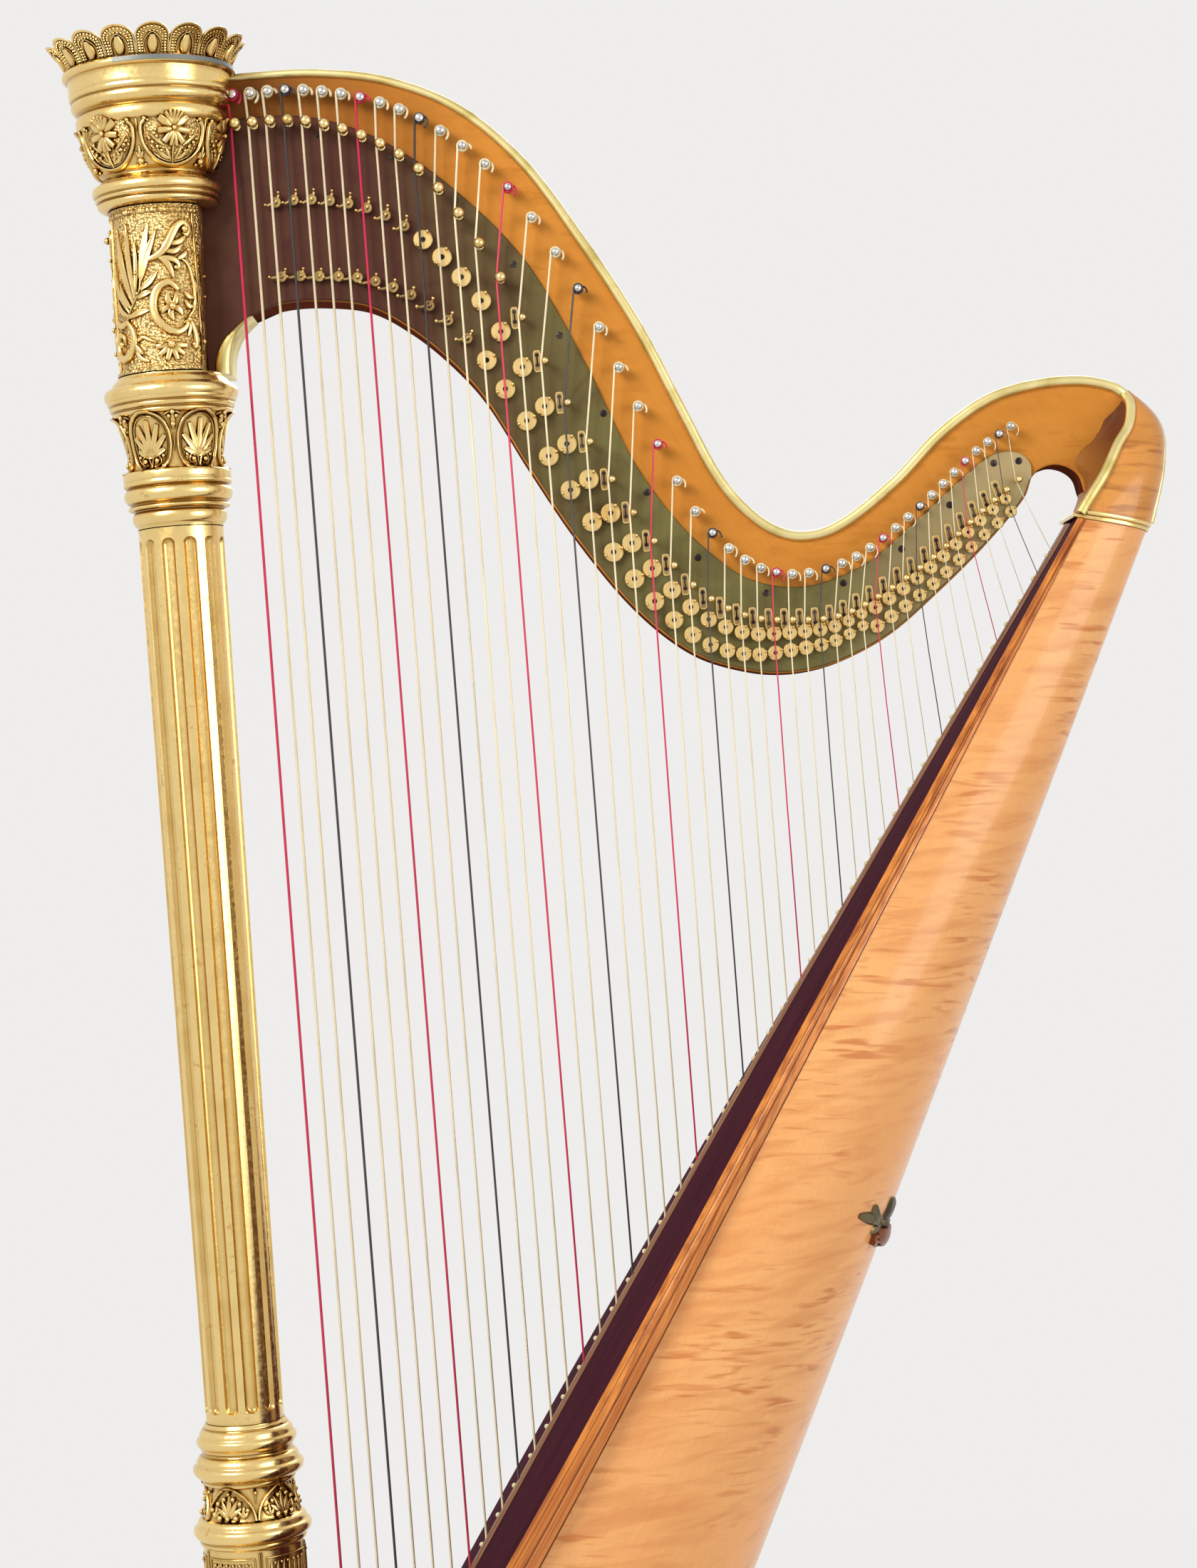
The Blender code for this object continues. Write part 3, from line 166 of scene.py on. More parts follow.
class Finish(Nodes):
    """A material built round one principled shader."""

    def __init__(self, name, metallic=0, coat=0):
        self.material = bpy.data.materials.new(name)
        self.material.use_nodes = True
        super().__init__(self.material.node_tree)
        self.shader = self.tree.nodes["Principled BSDF"]
        self.set("Metallic", metallic)
        self.set("Coat Weight", coat)
        self.set("Coat Roughness", 0.12)

    def set(self, socket, value):
        self.feed(self.shader.inputs[socket], value)

    def done(self, colour, roughness, height, depth, strength):
        """Give the shader its colour, roughness and bump, and hand over the material."""
        self.set("Base Color", colour)
        self.set("Roughness", roughness)
        self.set("Normal", self.node("ShaderNodeBump", {}, {
            "Height": height, "Distance": depth, "Strength": strength}))
        return self.material


def gilding(name, stipple=0, rough=0.2):
    leaf = Finish(name, 1)
    cloud = leaf.noise(34, 4)
    rub = leaf.noise(210, 3, 0.6)
    # Painted shade: the gold turns dark brown in grooves and recesses, by ambient occlusion.
    shade = (leaf.hollow(4.5 * MM) * 0.62 + leaf.hollow(24 * MM) * 0.38
             + (cloud - 0.5) * 0.2)
    colour = leaf.ramp(shade, (0.28, (0.07, 0.028, 0.006)), (0.6, (0.34, 0.175, 0.038)),
                       (0.86, (0.72, 0.47, 0.145)), (1, (0.9, 0.67, 0.28)))
    colour = leaf.mix(leaf.mask(rub * cloud, 0.36, 0.42) * 0.5, colour, (0.5, 0.25, 0.07))
    height, depth, strength = rub + cloud * 1.5, 0.12 * MM, 0.5
    if stipple:
        grit = leaf.node("ShaderNodeTexVoronoi", {"feature": "F1"},
                         {"Vector": leaf.place(430), "Scale": 1})
        colour = leaf.mix(leaf.mask(grit, 0.3, 0.75) * 0.72, colour, (0.17, 0.075, 0.018))
        height, depth, strength = grit + rub * 0.3, stipple, 1
    return leaf.done(colour, leaf.mask(rub, 0.25, 0.8) * 0.2 + (rough - 0.06), height, depth,
                     strength)


def along_neck(finish, low, high):
    """From 0 at one distance from the column to 1 at another."""
    across = finish.node("ShaderNodeSeparateXYZ", {}, {0: finish.place()})
    return finish.mask(across, COLUMN_X + low, COLUMN_X + high)


def flamed_maple(name, light, middle, dark, strength, turn, across=85, along=14, shade=None,
                 coat=0.35):
    """Glossy maple; its flame lies level, in soft short streaks, over grain along the turned Z;
    shade is painted shade, a darker tint between two distances from the column.
    """
    wood = Finish(name, 0, coat)
    wood.set("Specular IOR Level", 0.2 if coat > 0.1 else 0.02)
    flame = wood.noise((along, along, across), 2.2, 0.5, (0, 0.06, 0))
    streak = wood.noise((along * 1.5, along * 1.5, across * 2.1), 1.6, 0.5, (0, -0.1, 0))
    cloud = wood.noise((11, 11, 7), turn=turn)
    grain = wood.noise((900, 900, 26), turn=turn)
    line = wood.mask(streak, 0.53, 0.68) * wood.mask(cloud, 0.42, 0.58)
    broad = wood.mask(flame, 0.46, 0.7) * 0.5
    figured = wood.mix(wood.sum("MAXIMUM", line, broad) * strength,
                       wood.mix(cloud, middle, light), dark)
    # Painted shade: the wood darkens toward the tint along the neck.
    if shade:
        tint, low, high = shade
        figured = wood.mix(along_neck(wood, low, high) * 0.88, figured, tint)
    colour = wood.mix(wood.mask(grain, 0.35, 0.75) * 0.18, figured, dark)
    return wood.done(colour, grain * 0.1 + 0.24, grain, 0.03 * MM, 0.4)


def brass(name, bright, dull, rough, scratch, patina=0.5, bass=None):
    """Brass with dull spots; bass is a darker colour painted in as shade under the longest
    strings.
    """
    metal = Finish(name, 1)
    cloud = metal.noise(26, 5, 0.8)
    brushed = metal.noise((60, 900, 420), 3, turn=(0, 0.9, 0))
    dirt = metal.mask(cloud, 0.62 - 0.3 * patina, 0.75)
    colour = metal.mix(brushed * scratch * 0.5, metal.mix(dirt, bright, dull), bright)
    if bass:
        # Painted shade: darker toward the bass end, near the column.
        colour = metal.mix(along_neck(metal, 0.42, 0.2) * 0.9, colour, bass)
        colour = metal.mix(along_neck(metal, 0.56, 0.74) * (cloud + 0.25), colour,
                           (0.5, 0.38, 0.2))
    return metal.done(colour, dirt * 0.22 + rough + brushed * 0.1, brushed, 0.04 * MM,
                      0.35 * scratch)


def steel(name, tint=(0.62, 0.61, 0.6), rough=0.22):
    metal = Finish(name, 1)
    turning = metal.noise((300, 1600, 300))
    spots = metal.mask(metal.noise(60, 3), 0.45, 0.8)
    return metal.done(metal.mix(spots * 0.5, tint, (0.24, 0.2, 0.17)),
                      turning * 0.2 + rough - 0.05, turning, 0.03 * MM, 0.4)


def gut(name, colour, rough=0.42, twist=0, metallic=0):
    """String material: smooth gut, or wire wound round a core where twist is set."""
    cord = Finish(name, metallic)
    mottle = cord.noise((500, 500, 22))
    dark = tuple(part * 0.62 for part in colour)
    height, depth, strength = mottle, 0.05 * MM, 0.4
    if twist:
        height = cord.node("ShaderNodeTexWave", {"bands_direction": "Z"},
                           {"Vector": cord.place(), "Scale": twist, "Distortion": 0})
        depth, strength = 0.2 * MM, 0.8
    return cord.done(cord.mix(cord.mask(mottle, 0.35, 0.8) * 0.6, colour, dark),
                     mottle * 0.25 + rough - 0.1, height, depth, strength)


def plain_wood(name, light, dark, rough=0.55, grain_scale=26, turn=(0, 0, 0), coat=0,
               gloss=0.2, fine=420):
    wood = Finish(name, 0, coat)
    wood.set("Specular IOR Level", gloss)
    rings = wood.noise((fine, fine, grain_scale), 3, 0.3, turn)
    cloud = wood.noise((14, 14, 6), turn=turn)
    return wood.done(wood.mix(wood.mask(rings + cloud * 0.4, 0.45, 0.95), light, dark),
                     rings * 0.2 + rough - 0.1, rings, 0.08 * MM, 0.5)


LEAN = math.radians(33.53)
WITH_BODY = (0, -LEAN, 0)
WITH_NECK = (0, 0.5, 0)
NECK_TONES = ((0.66, 0.28, 0.05), (0.54, 0.2, 0.028), (0.32, 0.095, 0.014), 0.3, WITH_NECK,
              60, 22)
RED = (0.66, 0.018, 0.08)
GILT = gilding("burnished_gilding")
GILT_GROUND = gilding("stippled_gilding", 1.1 * MM, 0.34)
GILT_MATT = gilding("matt_gilding", rough=0.34)
PEWTER = steel("pewter_tape", (0.2, 0.215, 0.205), 0.5)
SHELL_WOOD = flamed_maple("flamed_maple", (0.89, 0.48, 0.185), (0.82, 0.35, 0.11),
                          (0.56, 0.165, 0.034), 0.8, WITH_BODY)
# Painted shade: the neck plank darkens to brown toward the bass end, near the column.
NECK_WOOD = flamed_maple("neck_maple", *NECK_TONES, ((0.2, 0.068, 0.016), 0.3, 0.1), 0.05)
KNEE_WOOD = flamed_maple("knee_maple", (0.76, 0.34, 0.075), (0.6, 0.22, 0.035),
                         (0.3, 0.085, 0.015), 0.6, (0, -0.2, 0), 70)
# Painted shade: the knee's scoop beside the fold darkens to near black toward the fold.
HOLLOW_SHADE_WOOD = flamed_maple("hollow_painted_shade_maple", *NECK_TONES,
                           ((0.085, 0.022, 0.018), 0.775, 0.835), 0)
# Painted shade: the plank's underside and the knee's arch are near black, as if in shadow.
SHADED_UNDER_WOOD = plain_wood("neck_underside_painted_shade", (0.15, 0.038, 0.018), (0.07, 0.016, 0.01), 0.8, 20,
                        WITH_NECK, 0, 0)
EDGE_WOOD = plain_wood("edge_orange", (0.84, 0.31, 0.06), (0.3, 0.065, 0.016), 0.34, 3,
                       WITH_BODY, 0.15, fine=230)
EDGE_DARK = plain_wood("edge_brown", (0.3, 0.085, 0.022), (0.13, 0.035, 0.012), 0.36, 14,
                       WITH_BODY, 0.2)
EDGE_PALE = plain_wood("edge_salmon", (0.86, 0.36, 0.11), (0.4, 0.1, 0.025), 0.32, 3,
                       WITH_BODY, 0.15, fine=230)
# Dark brown spruce, made near black as painted shade.
SHADED_SPRUCE = plain_wood("soundboard_spruce", (0.07, 0.01, 0.02), (0.024, 0.003, 0.009), 0.8, 9,
                    WITH_BODY, 0, 0.02)
RIB_WOOD = plain_wood("rib_maple", (0.34, 0.18, 0.09), (0.16, 0.06, 0.035), 0.5, 12, WITH_BODY)
INNER_WOOD = plain_wood("inner_wood", (0.46, 0.31, 0.18), (0.27, 0.16, 0.08))
# The plate's bass end is painted shade.
PLATE = brass("plate_brass", (0.185, 0.165, 0.06), (0.085, 0.06, 0.028), 0.4, 0.9, 0.9,
              (0.075, 0.024, 0.022))
DISC = brass("disc_brass", (0.8, 0.58, 0.24), (0.6, 0.4, 0.14), 0.32, 0.1, 0.2)
OLD_GILT = brass("old_gilt_bead", (0.84, 0.71, 0.34), (0.46, 0.36, 0.1), 0.3, 0, 0.7)
BALL_BRASS = brass("ball_brass", (0.86, 0.66, 0.3), (0.5, 0.33, 0.11), 0.16, 0.1, 0.3)
FORK_BRASS = brass("fork_brass", (0.46, 0.31, 0.12), (0.2, 0.11, 0.045), 0.3, 0.2)
PEDAL_BRASS = brass("pedal_brass", (0.78, 0.58, 0.26), (0.4, 0.26, 0.1), 0.24, 0.8)
BRONZE = brass("dark_bronze", (0.17, 0.13, 0.065), (0.035, 0.026, 0.018), 0.3, 0.2, 0.7)
STEEL = steel("pin_steel")
BLACKENED = steel("blackened_screw", (0.035, 0.025, 0.025), 0.4)
GUT_CREAM = gut("gut_cream", (0.86, 0.76, 0.5))
GUT_RED = gut("gut_red", RED)
GUT_BLACK = gut("gut_black", (0.035, 0.03, 0.032))
WOUND = gut("wound_wire", (0.84, 0.74, 0.5), 0.38, 520, 0.35)
WOUND_RED = gut("wound_red", RED, 0.4, 520)
WOUND_BLACK = gut("wound_black", (0.045, 0.038, 0.04), 0.4, 520)


# Shapes


def shares(count):
    """From 0 to 1 in even steps."""
    return [step / count for step in range(count + 1)]


def ring(centre, side, other, radius, sides, reach=None):
    """Points round a centre, from one direction toward the other; reach makes it oval."""
    reach = radius if reach is None else reach
    return [centre + side * (radius * math.cos(turn)) + other * (reach * math.sin(turn))
            for turn in (2 * math.pi * share for share in shares(sides)[:-1])]


def squared(turn, power):
    """The cosine and sine of a turn, filled out toward the corners of a square."""
    return [math.copysign(abs(part) ** power, part) for part in (math.cos(turn), math.sin(turn))]


def soft_square(power):
    """Twenty points round a square with soft corners."""
    return [squared(2 * math.pi * (step + 0.5) / 20, power) for step in range(20)]


def sideways(path, index):
    """The unit step to the left of a flat path's direction."""
    before, after = path[max(index - 1, 0)], path[min(index + 1, len(path) - 1)]
    run = math.dist(before, after) or 1e-9
    return (before[1] - after[1]) / run, (after[0] - before[0]) / run


def mirrored(places):
    """Places on one side of the middle line, and the same ones on the other."""
    return [(side * place[0], *place[1:]) for side in (1, -1) for place in places]


def outward_mesh(name, form):
    mesh = bpy.data.meshes.new(name)
    mesh.from_pydata(form.points, [], form.faces)
    tidy = bmesh.new()
    tidy.from_mesh(mesh)
    bmesh.ops.recalc_face_normals(tidy, faces=tidy.faces)
    tidy.to_mesh(mesh)
    tidy.free()
    return mesh


def shown(name, data):
    """Put a mesh, a lamp or the camera into the scene."""
    made = bpy.data.objects.new(name, data)
    bpy.context.scene.collection.objects.link(made)
    return made


def smooth_shading(mesh, sharp):
    mesh.shade_smooth()
    mesh.set_sharp_from_angle(angle=math.radians(sharp))


class Form:
    """Points and faces gathered for one piece; carving follows surface(u, v, out)."""

    def __init__(self, rings=None, tones=(0,)):
        self.points = []
        self.faces = []
        self.tones = []
        self.surface = None
        if rings:
            self.loft(rings, tones)

    def loft(self, rings, tones=(0,), caps=True):
        """Skin rings of equal length. tones gives each step of a ring its own finish."""
        count = len(rings[0])
        start = len(self.points)
        for points in rings:
            self.points.extend(points)
        last = len(self.points) - count
        for here in range(start, last, count):
            for step in range(count):
                turn = (step + 1) % count
                self.faces.append((here + step, here + turn, here + count + turn,
                                   here + count + step))
                self.tones.append(tones[step % len(tones)])
        if caps:
            self.faces.append(tuple(range(start, start + count))[::-1])
            self.faces.append(tuple(range(last, last + count)))
            self.tones.extend((tones[0], tones[0]))

    def tube(self, path, radius, sides=8, tone=0, flat=1, up=None):
        """A round bar along a path; radius is a number or follows the share of its length."""
        rings = []
        side = None
        last = len(path) - 1
        for index, place in enumerate(path):
            run = (path[min(index + 1, last)] - path[max(index - 1, 0)]).normalized()
            if up is not None:
                side = up.cross(run)
            elif side is None:
                side = run.orthogonal()
            side = (side - run * side.dot(run)).normalized()
            size = radius(index / last) if callable(radius) else radius
            rings.append(ring(place, side, run.cross(side), size, sides, size * flat))
        self.loft(rings, (tone,))

    def ball(self, centre, radius, sides, rows, out=UP, flat=1):
        """A ball, or a flattened one where flat is under 1 along its outward direction."""
        side = out.orthogonal().normalized()
        angles = [0.12 + (math.pi - 0.24) * share for share in shares(rows)]
        self.loft([ring(centre - out * (radius * flat * math.cos(angle)), side, out.cross(side),
                        radius * math.sin(angle), sides) for angle in angles])

    def spin(self, centre, profile, sides, tones=None, cap=0):
        """A small turned part on a crosswise axis; profile is (radius, y)."""
        rings = [ring(Vector((centre.x, y, centre.z)), AWAY, UP, radius, sides)
                 for radius, y in profile]
        if tones is None:
            self.loft(rings)
            return
        for first, second, tone in zip(rings, rings[1:], tones):
            self.loft([first, second], (tone,), False)
        end = len(self.points)
        self.points.extend(rings[0])
        self.faces += [tuple(range(end - sides, end)), tuple(range(end, end + sides))[::-1]]
        self.tones += [0, cap]

    def ribbon(self, path, width, lift, across=4, fold=0, tone=0):
        """A raised leaf or stem along a flat path on the surface."""
        rings = []
        for index, (u, v) in enumerate(path):
            du, dv = sideways(path, index)
            share = index / (len(path) - 1)
            half, rise = width(share), lift(share)
            section = [(k, rise * (math.sqrt(1 - k * k) - fold * (1 - abs(k))))
                       for k in (2 * part - 1 for part in shares(across))]
            section += [(0.9, -MM), (-0.9, -MM)]
            rings.append([self.surface(u + du * half * k, v + dv * half * k, out)
                          for k, out in section])
        self.loft(rings, (tone,))

    def stroke(self, points, half, lift, across, tip, root, fold=0, spacing=2.4, tone=0):
        """A carved leaf or stem through points in millimetres, swelling between its ends."""
        path = smooth_line([(u * MM, v * MM) for u, v in points], spacing * MM)

        def swell(share):
            rise = min(1, root + (1 - root) * share / 0.45)
            fall = min(1, tip + (1 - tip) * (1 - share) / 0.5)
            return math.sin(rise * math.pi / 2) * math.sin(fall * math.pi / 2)

        self.ribbon(path, lambda share: half * MM * swell(share),
                    lambda share: lift * MM * (0.45 + 0.55 * swell(share)), across, fold, tone)

    def pair(self, points, *shape):
        """A stroke and its mirror image."""
        for side in (1, -1):
            self.stroke([(side * u, v) for u, v in points], *shape)

    def wand(self, points, half, lift, spacing=2):
        """A rib of even width."""
        self.stroke(points, half, lift, 4, 1, 1, 0, spacing)

    def berries(self, sink, *places):
        """Balls sunk into the surface by a share of their radius."""
        for u, v, radius in places:
            self.ball(self.surface(u * MM, v * MM, radius * MM * (1 - sink)), radius * MM, 10, 7)

    def fan(self, u, v, angles, length, half, lift, fold=0, tip=0.45, root=0.3):
        """Petals or lobes that spread from one point; angles in degrees from the u axis."""
        for index, angle in enumerate(angles):
            turn = math.radians(angle)
            reach = length[index] if isinstance(length, tuple) else length
            self.stroke([(u + share * reach * math.cos(turn), v + share * reach * math.sin(turn))
                         for share in shares(2)], half, lift, 6, tip, root, fold)

    def piece(self, name, node="", finish=GILT, slot="gilded_wood", sharp=40, body="frame"):
        """Turn what was gathered into a named piece on a body, in place of a node if given."""
        mesh = outward_mesh(name, self)
        for layer in finish if isinstance(finish, tuple) else (finish,):
            mesh.materials.append(layer)
        mesh.polygons.foreach_set("material_index", self.tones)
        smooth_shading(mesh, sharp)
        made = shown(name, mesh)
        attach(made, body)
        if node:
            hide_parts(node)
        return made


def soften(piece, width, segments):
    """Round the piece's sharp edges as a plane or a file would."""
    edge = piece.modifiers.new("soft_edges", "BEVEL")
    edge.width = width
    edge.segments = segments
    edge.limit_method = "ANGLE"
    edge.angle_limit = math.radians(35)
    edge.harden_normals = False


def blend(keys, place):
    """Read a smooth curve through numbered keys; values are numbers or pairs."""
    marks = sorted(keys)
    values = [Vector(keys[mark]) if isinstance(keys[mark], tuple) else keys[mark]
              for mark in marks]
    place = min(max(place, marks[0]), marks[-1])
    segment = 0
    while segment < len(marks) - 2 and place > marks[segment + 1]:
        segment += 1

    def slope(mark):
        before = max(mark - 1, 0)
        after = min(mark + 1, len(marks) - 1)
        return (values[after] - values[before]) * (1 / (marks[after] - marks[before]))

    span = marks[segment + 1] - marks[segment]
    t = (place - marks[segment]) / span
    return (values[segment] * (2 * t ** 3 - 3 * t ** 2 + 1)
            + slope(segment) * ((t ** 3 - 2 * t ** 2 + t) * span)
            + values[segment + 1] * (3 * t ** 2 - 2 * t ** 3)
            + slope(segment + 1) * ((t ** 3 - t ** 2) * span))


def smooth_line(points, spacing):
    keys = {0: tuple(points[0])}
    length = 0
    for before, after in zip(points, points[1:]):
        length += math.dist(before, after)
        keys[length] = tuple(after)
    count = max(2, round(length / spacing))
    return [tuple(blend(keys, length * share)) for share in shares(count)]


def inset_line(points, distance):
    """Move a line sideways, to the left of its direction."""
    steps = [sideways(points, index) for index in range(len(points))]
    return [(x + du * distance, z + dv * distance) for (x, z), (du, dv) in zip(points, steps)]


# The column


FOOT_PROFILE = (
    (30, 236.4), (46.5, 236.4), (46.5, 250), (44.6, 253), (44.4, 256), (44.4, 480), (44.6, 495),
    (45, 497.4), (47, 498.6), (47.6, 500.8), (47, 502.6), (50.2, 504.6), (52, 507.4),
    (52.6, 510.6), (51.8, 513.6), (49.2, 515.2), (48.6, 516.4), (48, 519.4), (45.2, 522),
    (42.4, 522.6), (41.6, 524.2), (39.4, 531), (38.2, 537), (37.4, 545), (37.6, 550.4),
    (40.4, 551.6), (41.6, 553.6), (41.2, 555.6), (45.2, 557.6), (48.2, 560.4), (49.4, 563.8),
    (49, 567), (46.6, 568.8), (45.8, 569.6), (45.4, 573), (42.8, 576.6), (39.8, 577.8),
    (39.2, 580.2), (41, 581), (41.2, 583.2), (43.4, 585.4), (44.6, 588.2), (44.4, 591.4),
    (42.2, 593.2), (41.8, 594.2), (41.2, 597.6), (38.8, 600.4), (36.8, 600.9), (37.4, 602.8),
    (36, 604.2), (35.4, 605.8), (30, 605.9),
)
LOWER_CAPITAL_PROFILE = (
    (30, 1400.1), (38.2, 1400.2), (38.4, 1403.6), (40.2, 1404.6), (41.6, 1407.2), (42, 1410.4),
    (41.4, 1413.8), (39.6, 1415.8), (40, 1417), (44.6, 1417.8), (45.4, 1419.2), (44.6, 1420.6),
    (42.6, 1421.4), (43, 1422.8), (46.4, 1425), (48.2, 1429.2), (47.8, 1433.4), (45.6, 1436.2),
    (45, 1437.4), (47.8, 1438.6), (48.2, 1440.8), (47.2, 1442.4), (47.8, 1443.4), (47.9, 1449.6),
    (46.6, 1450.8), (41.4, 1451.6), (40.2, 1453.2), (40.4, 1462), (42.4, 1475), (45.4, 1487),
    (48.2, 1496.6), (50.2, 1499.6), (53.2, 1500.8), (53.8, 1503.2), (52.4, 1505), (55.2, 1506.2),
    (55.9, 1508.8), (54.6, 1510.6), (56.8, 1511.6), (57.6, 1513.6), (57.4, 1514.6), (59.2, 1516.6),
    (59.8, 1520), (58.6, 1523.6), (55.8, 1525.8), (53.4, 1526.4), (52.8, 1527.4), (50.2, 1531.6),
    (47, 1534), (46.4, 1536), (30, 1536.1),
)
DRUM_PROFILE = (
    (30, 1536.2), (45.8, 1536.3), (45.8, 1540), (43.2, 1541), (43.2, 1546), (43.4, 1600),
    (42.4, 1650), (41.8, 1675.4), (44, 1676.6), (44.4, 1679), (43, 1680.6), (44.8, 1683.9),
    (30, 1683.95),
)
BOWL_PROFILE = (
    (30, 1684), (46.2, 1684), (50.6, 1685.6), (53, 1687.6), (53.2, 1690), (51.6, 1691.4),
    (54.4, 1692.4), (55.2, 1694.6), (54, 1696.2), (56.4, 1697.4), (57.3, 1700.2), (56.8, 1703.6),
    (54.6, 1705.8), (51.8, 1706.4), (51.4, 1707.6), (48.4, 1709.4), (47, 1711.6), (47.2, 1713.8),
    (50, 1716), (54.6, 1723), (58.2, 1733), (60.8, 1743), (62.4, 1751.6), (63, 1755),
    (65.6, 1756.4), (67.2, 1759.6), (67.4, 1763.8), (66, 1767.6), (64.2, 1769.2), (65, 1770.6),
    (68.8, 1773), (70.6, 1776.4), (70.2, 1780), (69, 1781.4), (70.8, 1782.4), (71.8, 1784.6),
    (71.2, 1786.8), (71.7, 1787.8), (71.8, 1800.2), (74, 1801), (76.2, 1802.4), (76.6, 1805.4),
    (75.4, 1807.6), (72, 1808.2), (20, 1806),
)
FLUTES = 12
FLUTE_HALF = 5.9 * MM
FLUTE_DEPTH = 4 * MM
FLUTE_END = 9.5 * MM
SHAFT_BOTTOM = 0.606
SHAFT_TOP = 1.4
SHAFT_RADIUS_BOTTOM = 34.5 * MM
SHAFT_RADIUS_TOP = 37.7 * MM
CROWN_LEAVES = 16
CROWN_TOP = 1.8325
CROWN_FOOT = 1.8085
CROWN_REFERENCE = 82 * MM
PETAL_WAIST = 0.56


def rounded(profile, cuts=1):
    """Cut the corners of a turned profile until it reads as a turner's curve."""
    for _ in range(cuts):
        softer = [tuple(a * keep + b * (1 - keep) for a, b in zip(before, after))
                  for before, after in zip(profile, profile[1:]) for keep in (0.8, 0.2)]
        profile = [profile[0], *softer, profile[-1]]
    return profile


def drum_flat(height):
    """How far the drum reaches toward the strings, where it is pared flat for the neck."""
    return 0.0326 + (height - 1.541) * 0.042


def turned(profile, sides=96, x=0, y=0, cuts=1, pared=False):
    """A turned member from its radii and heights in millimetres."""
    rings = [ring(at(x, y, height * MM), AWAY, RIGHT, radius * MM, sides)
             for radius, height in rounded(profile, cuts)]
    if pared:
        for point in (point for points in rings for point in points):
            point.x = min(point.x, COLUMN_X + drum_flat(point.z))
    return Form(rings)


def fluted_shaft():
    """Twelve hollow flutes with round ends, and flat fillets between them."""
    tall = SHAFT_TOP - SHAFT_BOTTOM
    heights = [SHAFT_BOTTOM] + [
        SHAFT_BOTTOM + FLUTE_END + FLUTE_HALF * (1 - math.cos(math.pi * end / 20))
        for end in range(11)]
    middle = [SHAFT_BOTTOM + 0.02 + (tall - 0.04) * share for share in shares(14)]
    heights += middle + [SHAFT_TOP + SHAFT_BOTTOM - z for z in reversed(heights)]
    rings = []
    for z in heights:
        radius = SHAFT_RADIUS_BOTTOM + (
            SHAFT_RADIUS_TOP - SHAFT_RADIUS_BOTTOM) * (z - SHAFT_BOTTOM) / tall
        reach = min(z - SHAFT_BOTTOM, SHAFT_TOP - z) - FLUTE_END
        ease = max(0, min(1, 1 - reach / FLUTE_HALF))
        scoop = 1 - ease * ease if reach > 0 else 0
        edge = FLUTE_HALF / radius
        points = []
        for flute in range(FLUTES):
            for step in range(24):
                k = step / 10 - 1
                angle = k * edge
                rise = math.sqrt(max(0, scoop - k * k))
                if step > 20:
                    angle = edge + (2 * math.pi / FLUTES - 2 * edge) * (step - 20) / 4
                depth = FLUTE_DEPTH * min(1, 1.25 * rise) * (0.75 + 0.25 * rise)
                turn = (flute + 0.6) * 2 * math.pi / FLUTES + angle
                size = radius - depth
                points.append(at(size * math.cos(turn), size * math.sin(turn), z))
        rings.append(points)
    Form(rings).piece("shaft_fluted", "column_shaft", sharp=24)


def round_surface(profile, middle, reference, pared=False):
    """A turned member as a carver's flat pattern: u along the arc, v the height."""
    line = [(height * MM, radius * MM) for radius, height in rounded(profile)]
    middle = math.radians(middle - 90)

    def surface(u, v, out):
        radius = line[-1][1]
        for (low, near), (high, far) in zip(line, line[1:]):
            if low <= v <= high and high > low:
                radius = near + (far - near) * (v - low) / (high - low)
                break
        angle = middle + u / reference
        x = (radius + out) * math.cos(angle)
        if pared:
            x = min(x, drum_flat(v) + 0.15 * out)
        return at(x, (radius + out) * math.sin(angle), v)

    return surface


def slab(surface, half, v, cuts, front, back):
    """One level of a thin board laid on a surface: its front, then its back."""
    across = [half * (2 * share - 1) for share in shares(2 * cuts)]
    return ([surface(u, v, front) for u in across]
            + [surface(u, v, back) for u in reversed(across)])


def petal_edge(half, top, steps, low):
    """Up one side of a petal, over its round top and down the other."""
    tall = CROWN_TOP - CROWN_FOOT
    waist = tall * PETAL_WAIST
    bow = [(-half * math.cos(turn), waist + math.sin(turn) * (top - waist))
            for turn in (math.pi * share for share in shares(steps))]
    rise = [tall * (low + (PETAL_WAIST - low) * step / 5) for step in range(5)]
    return [(-half, v) for v in rise] + bow + [(half, v) for v in reversed(rise)]


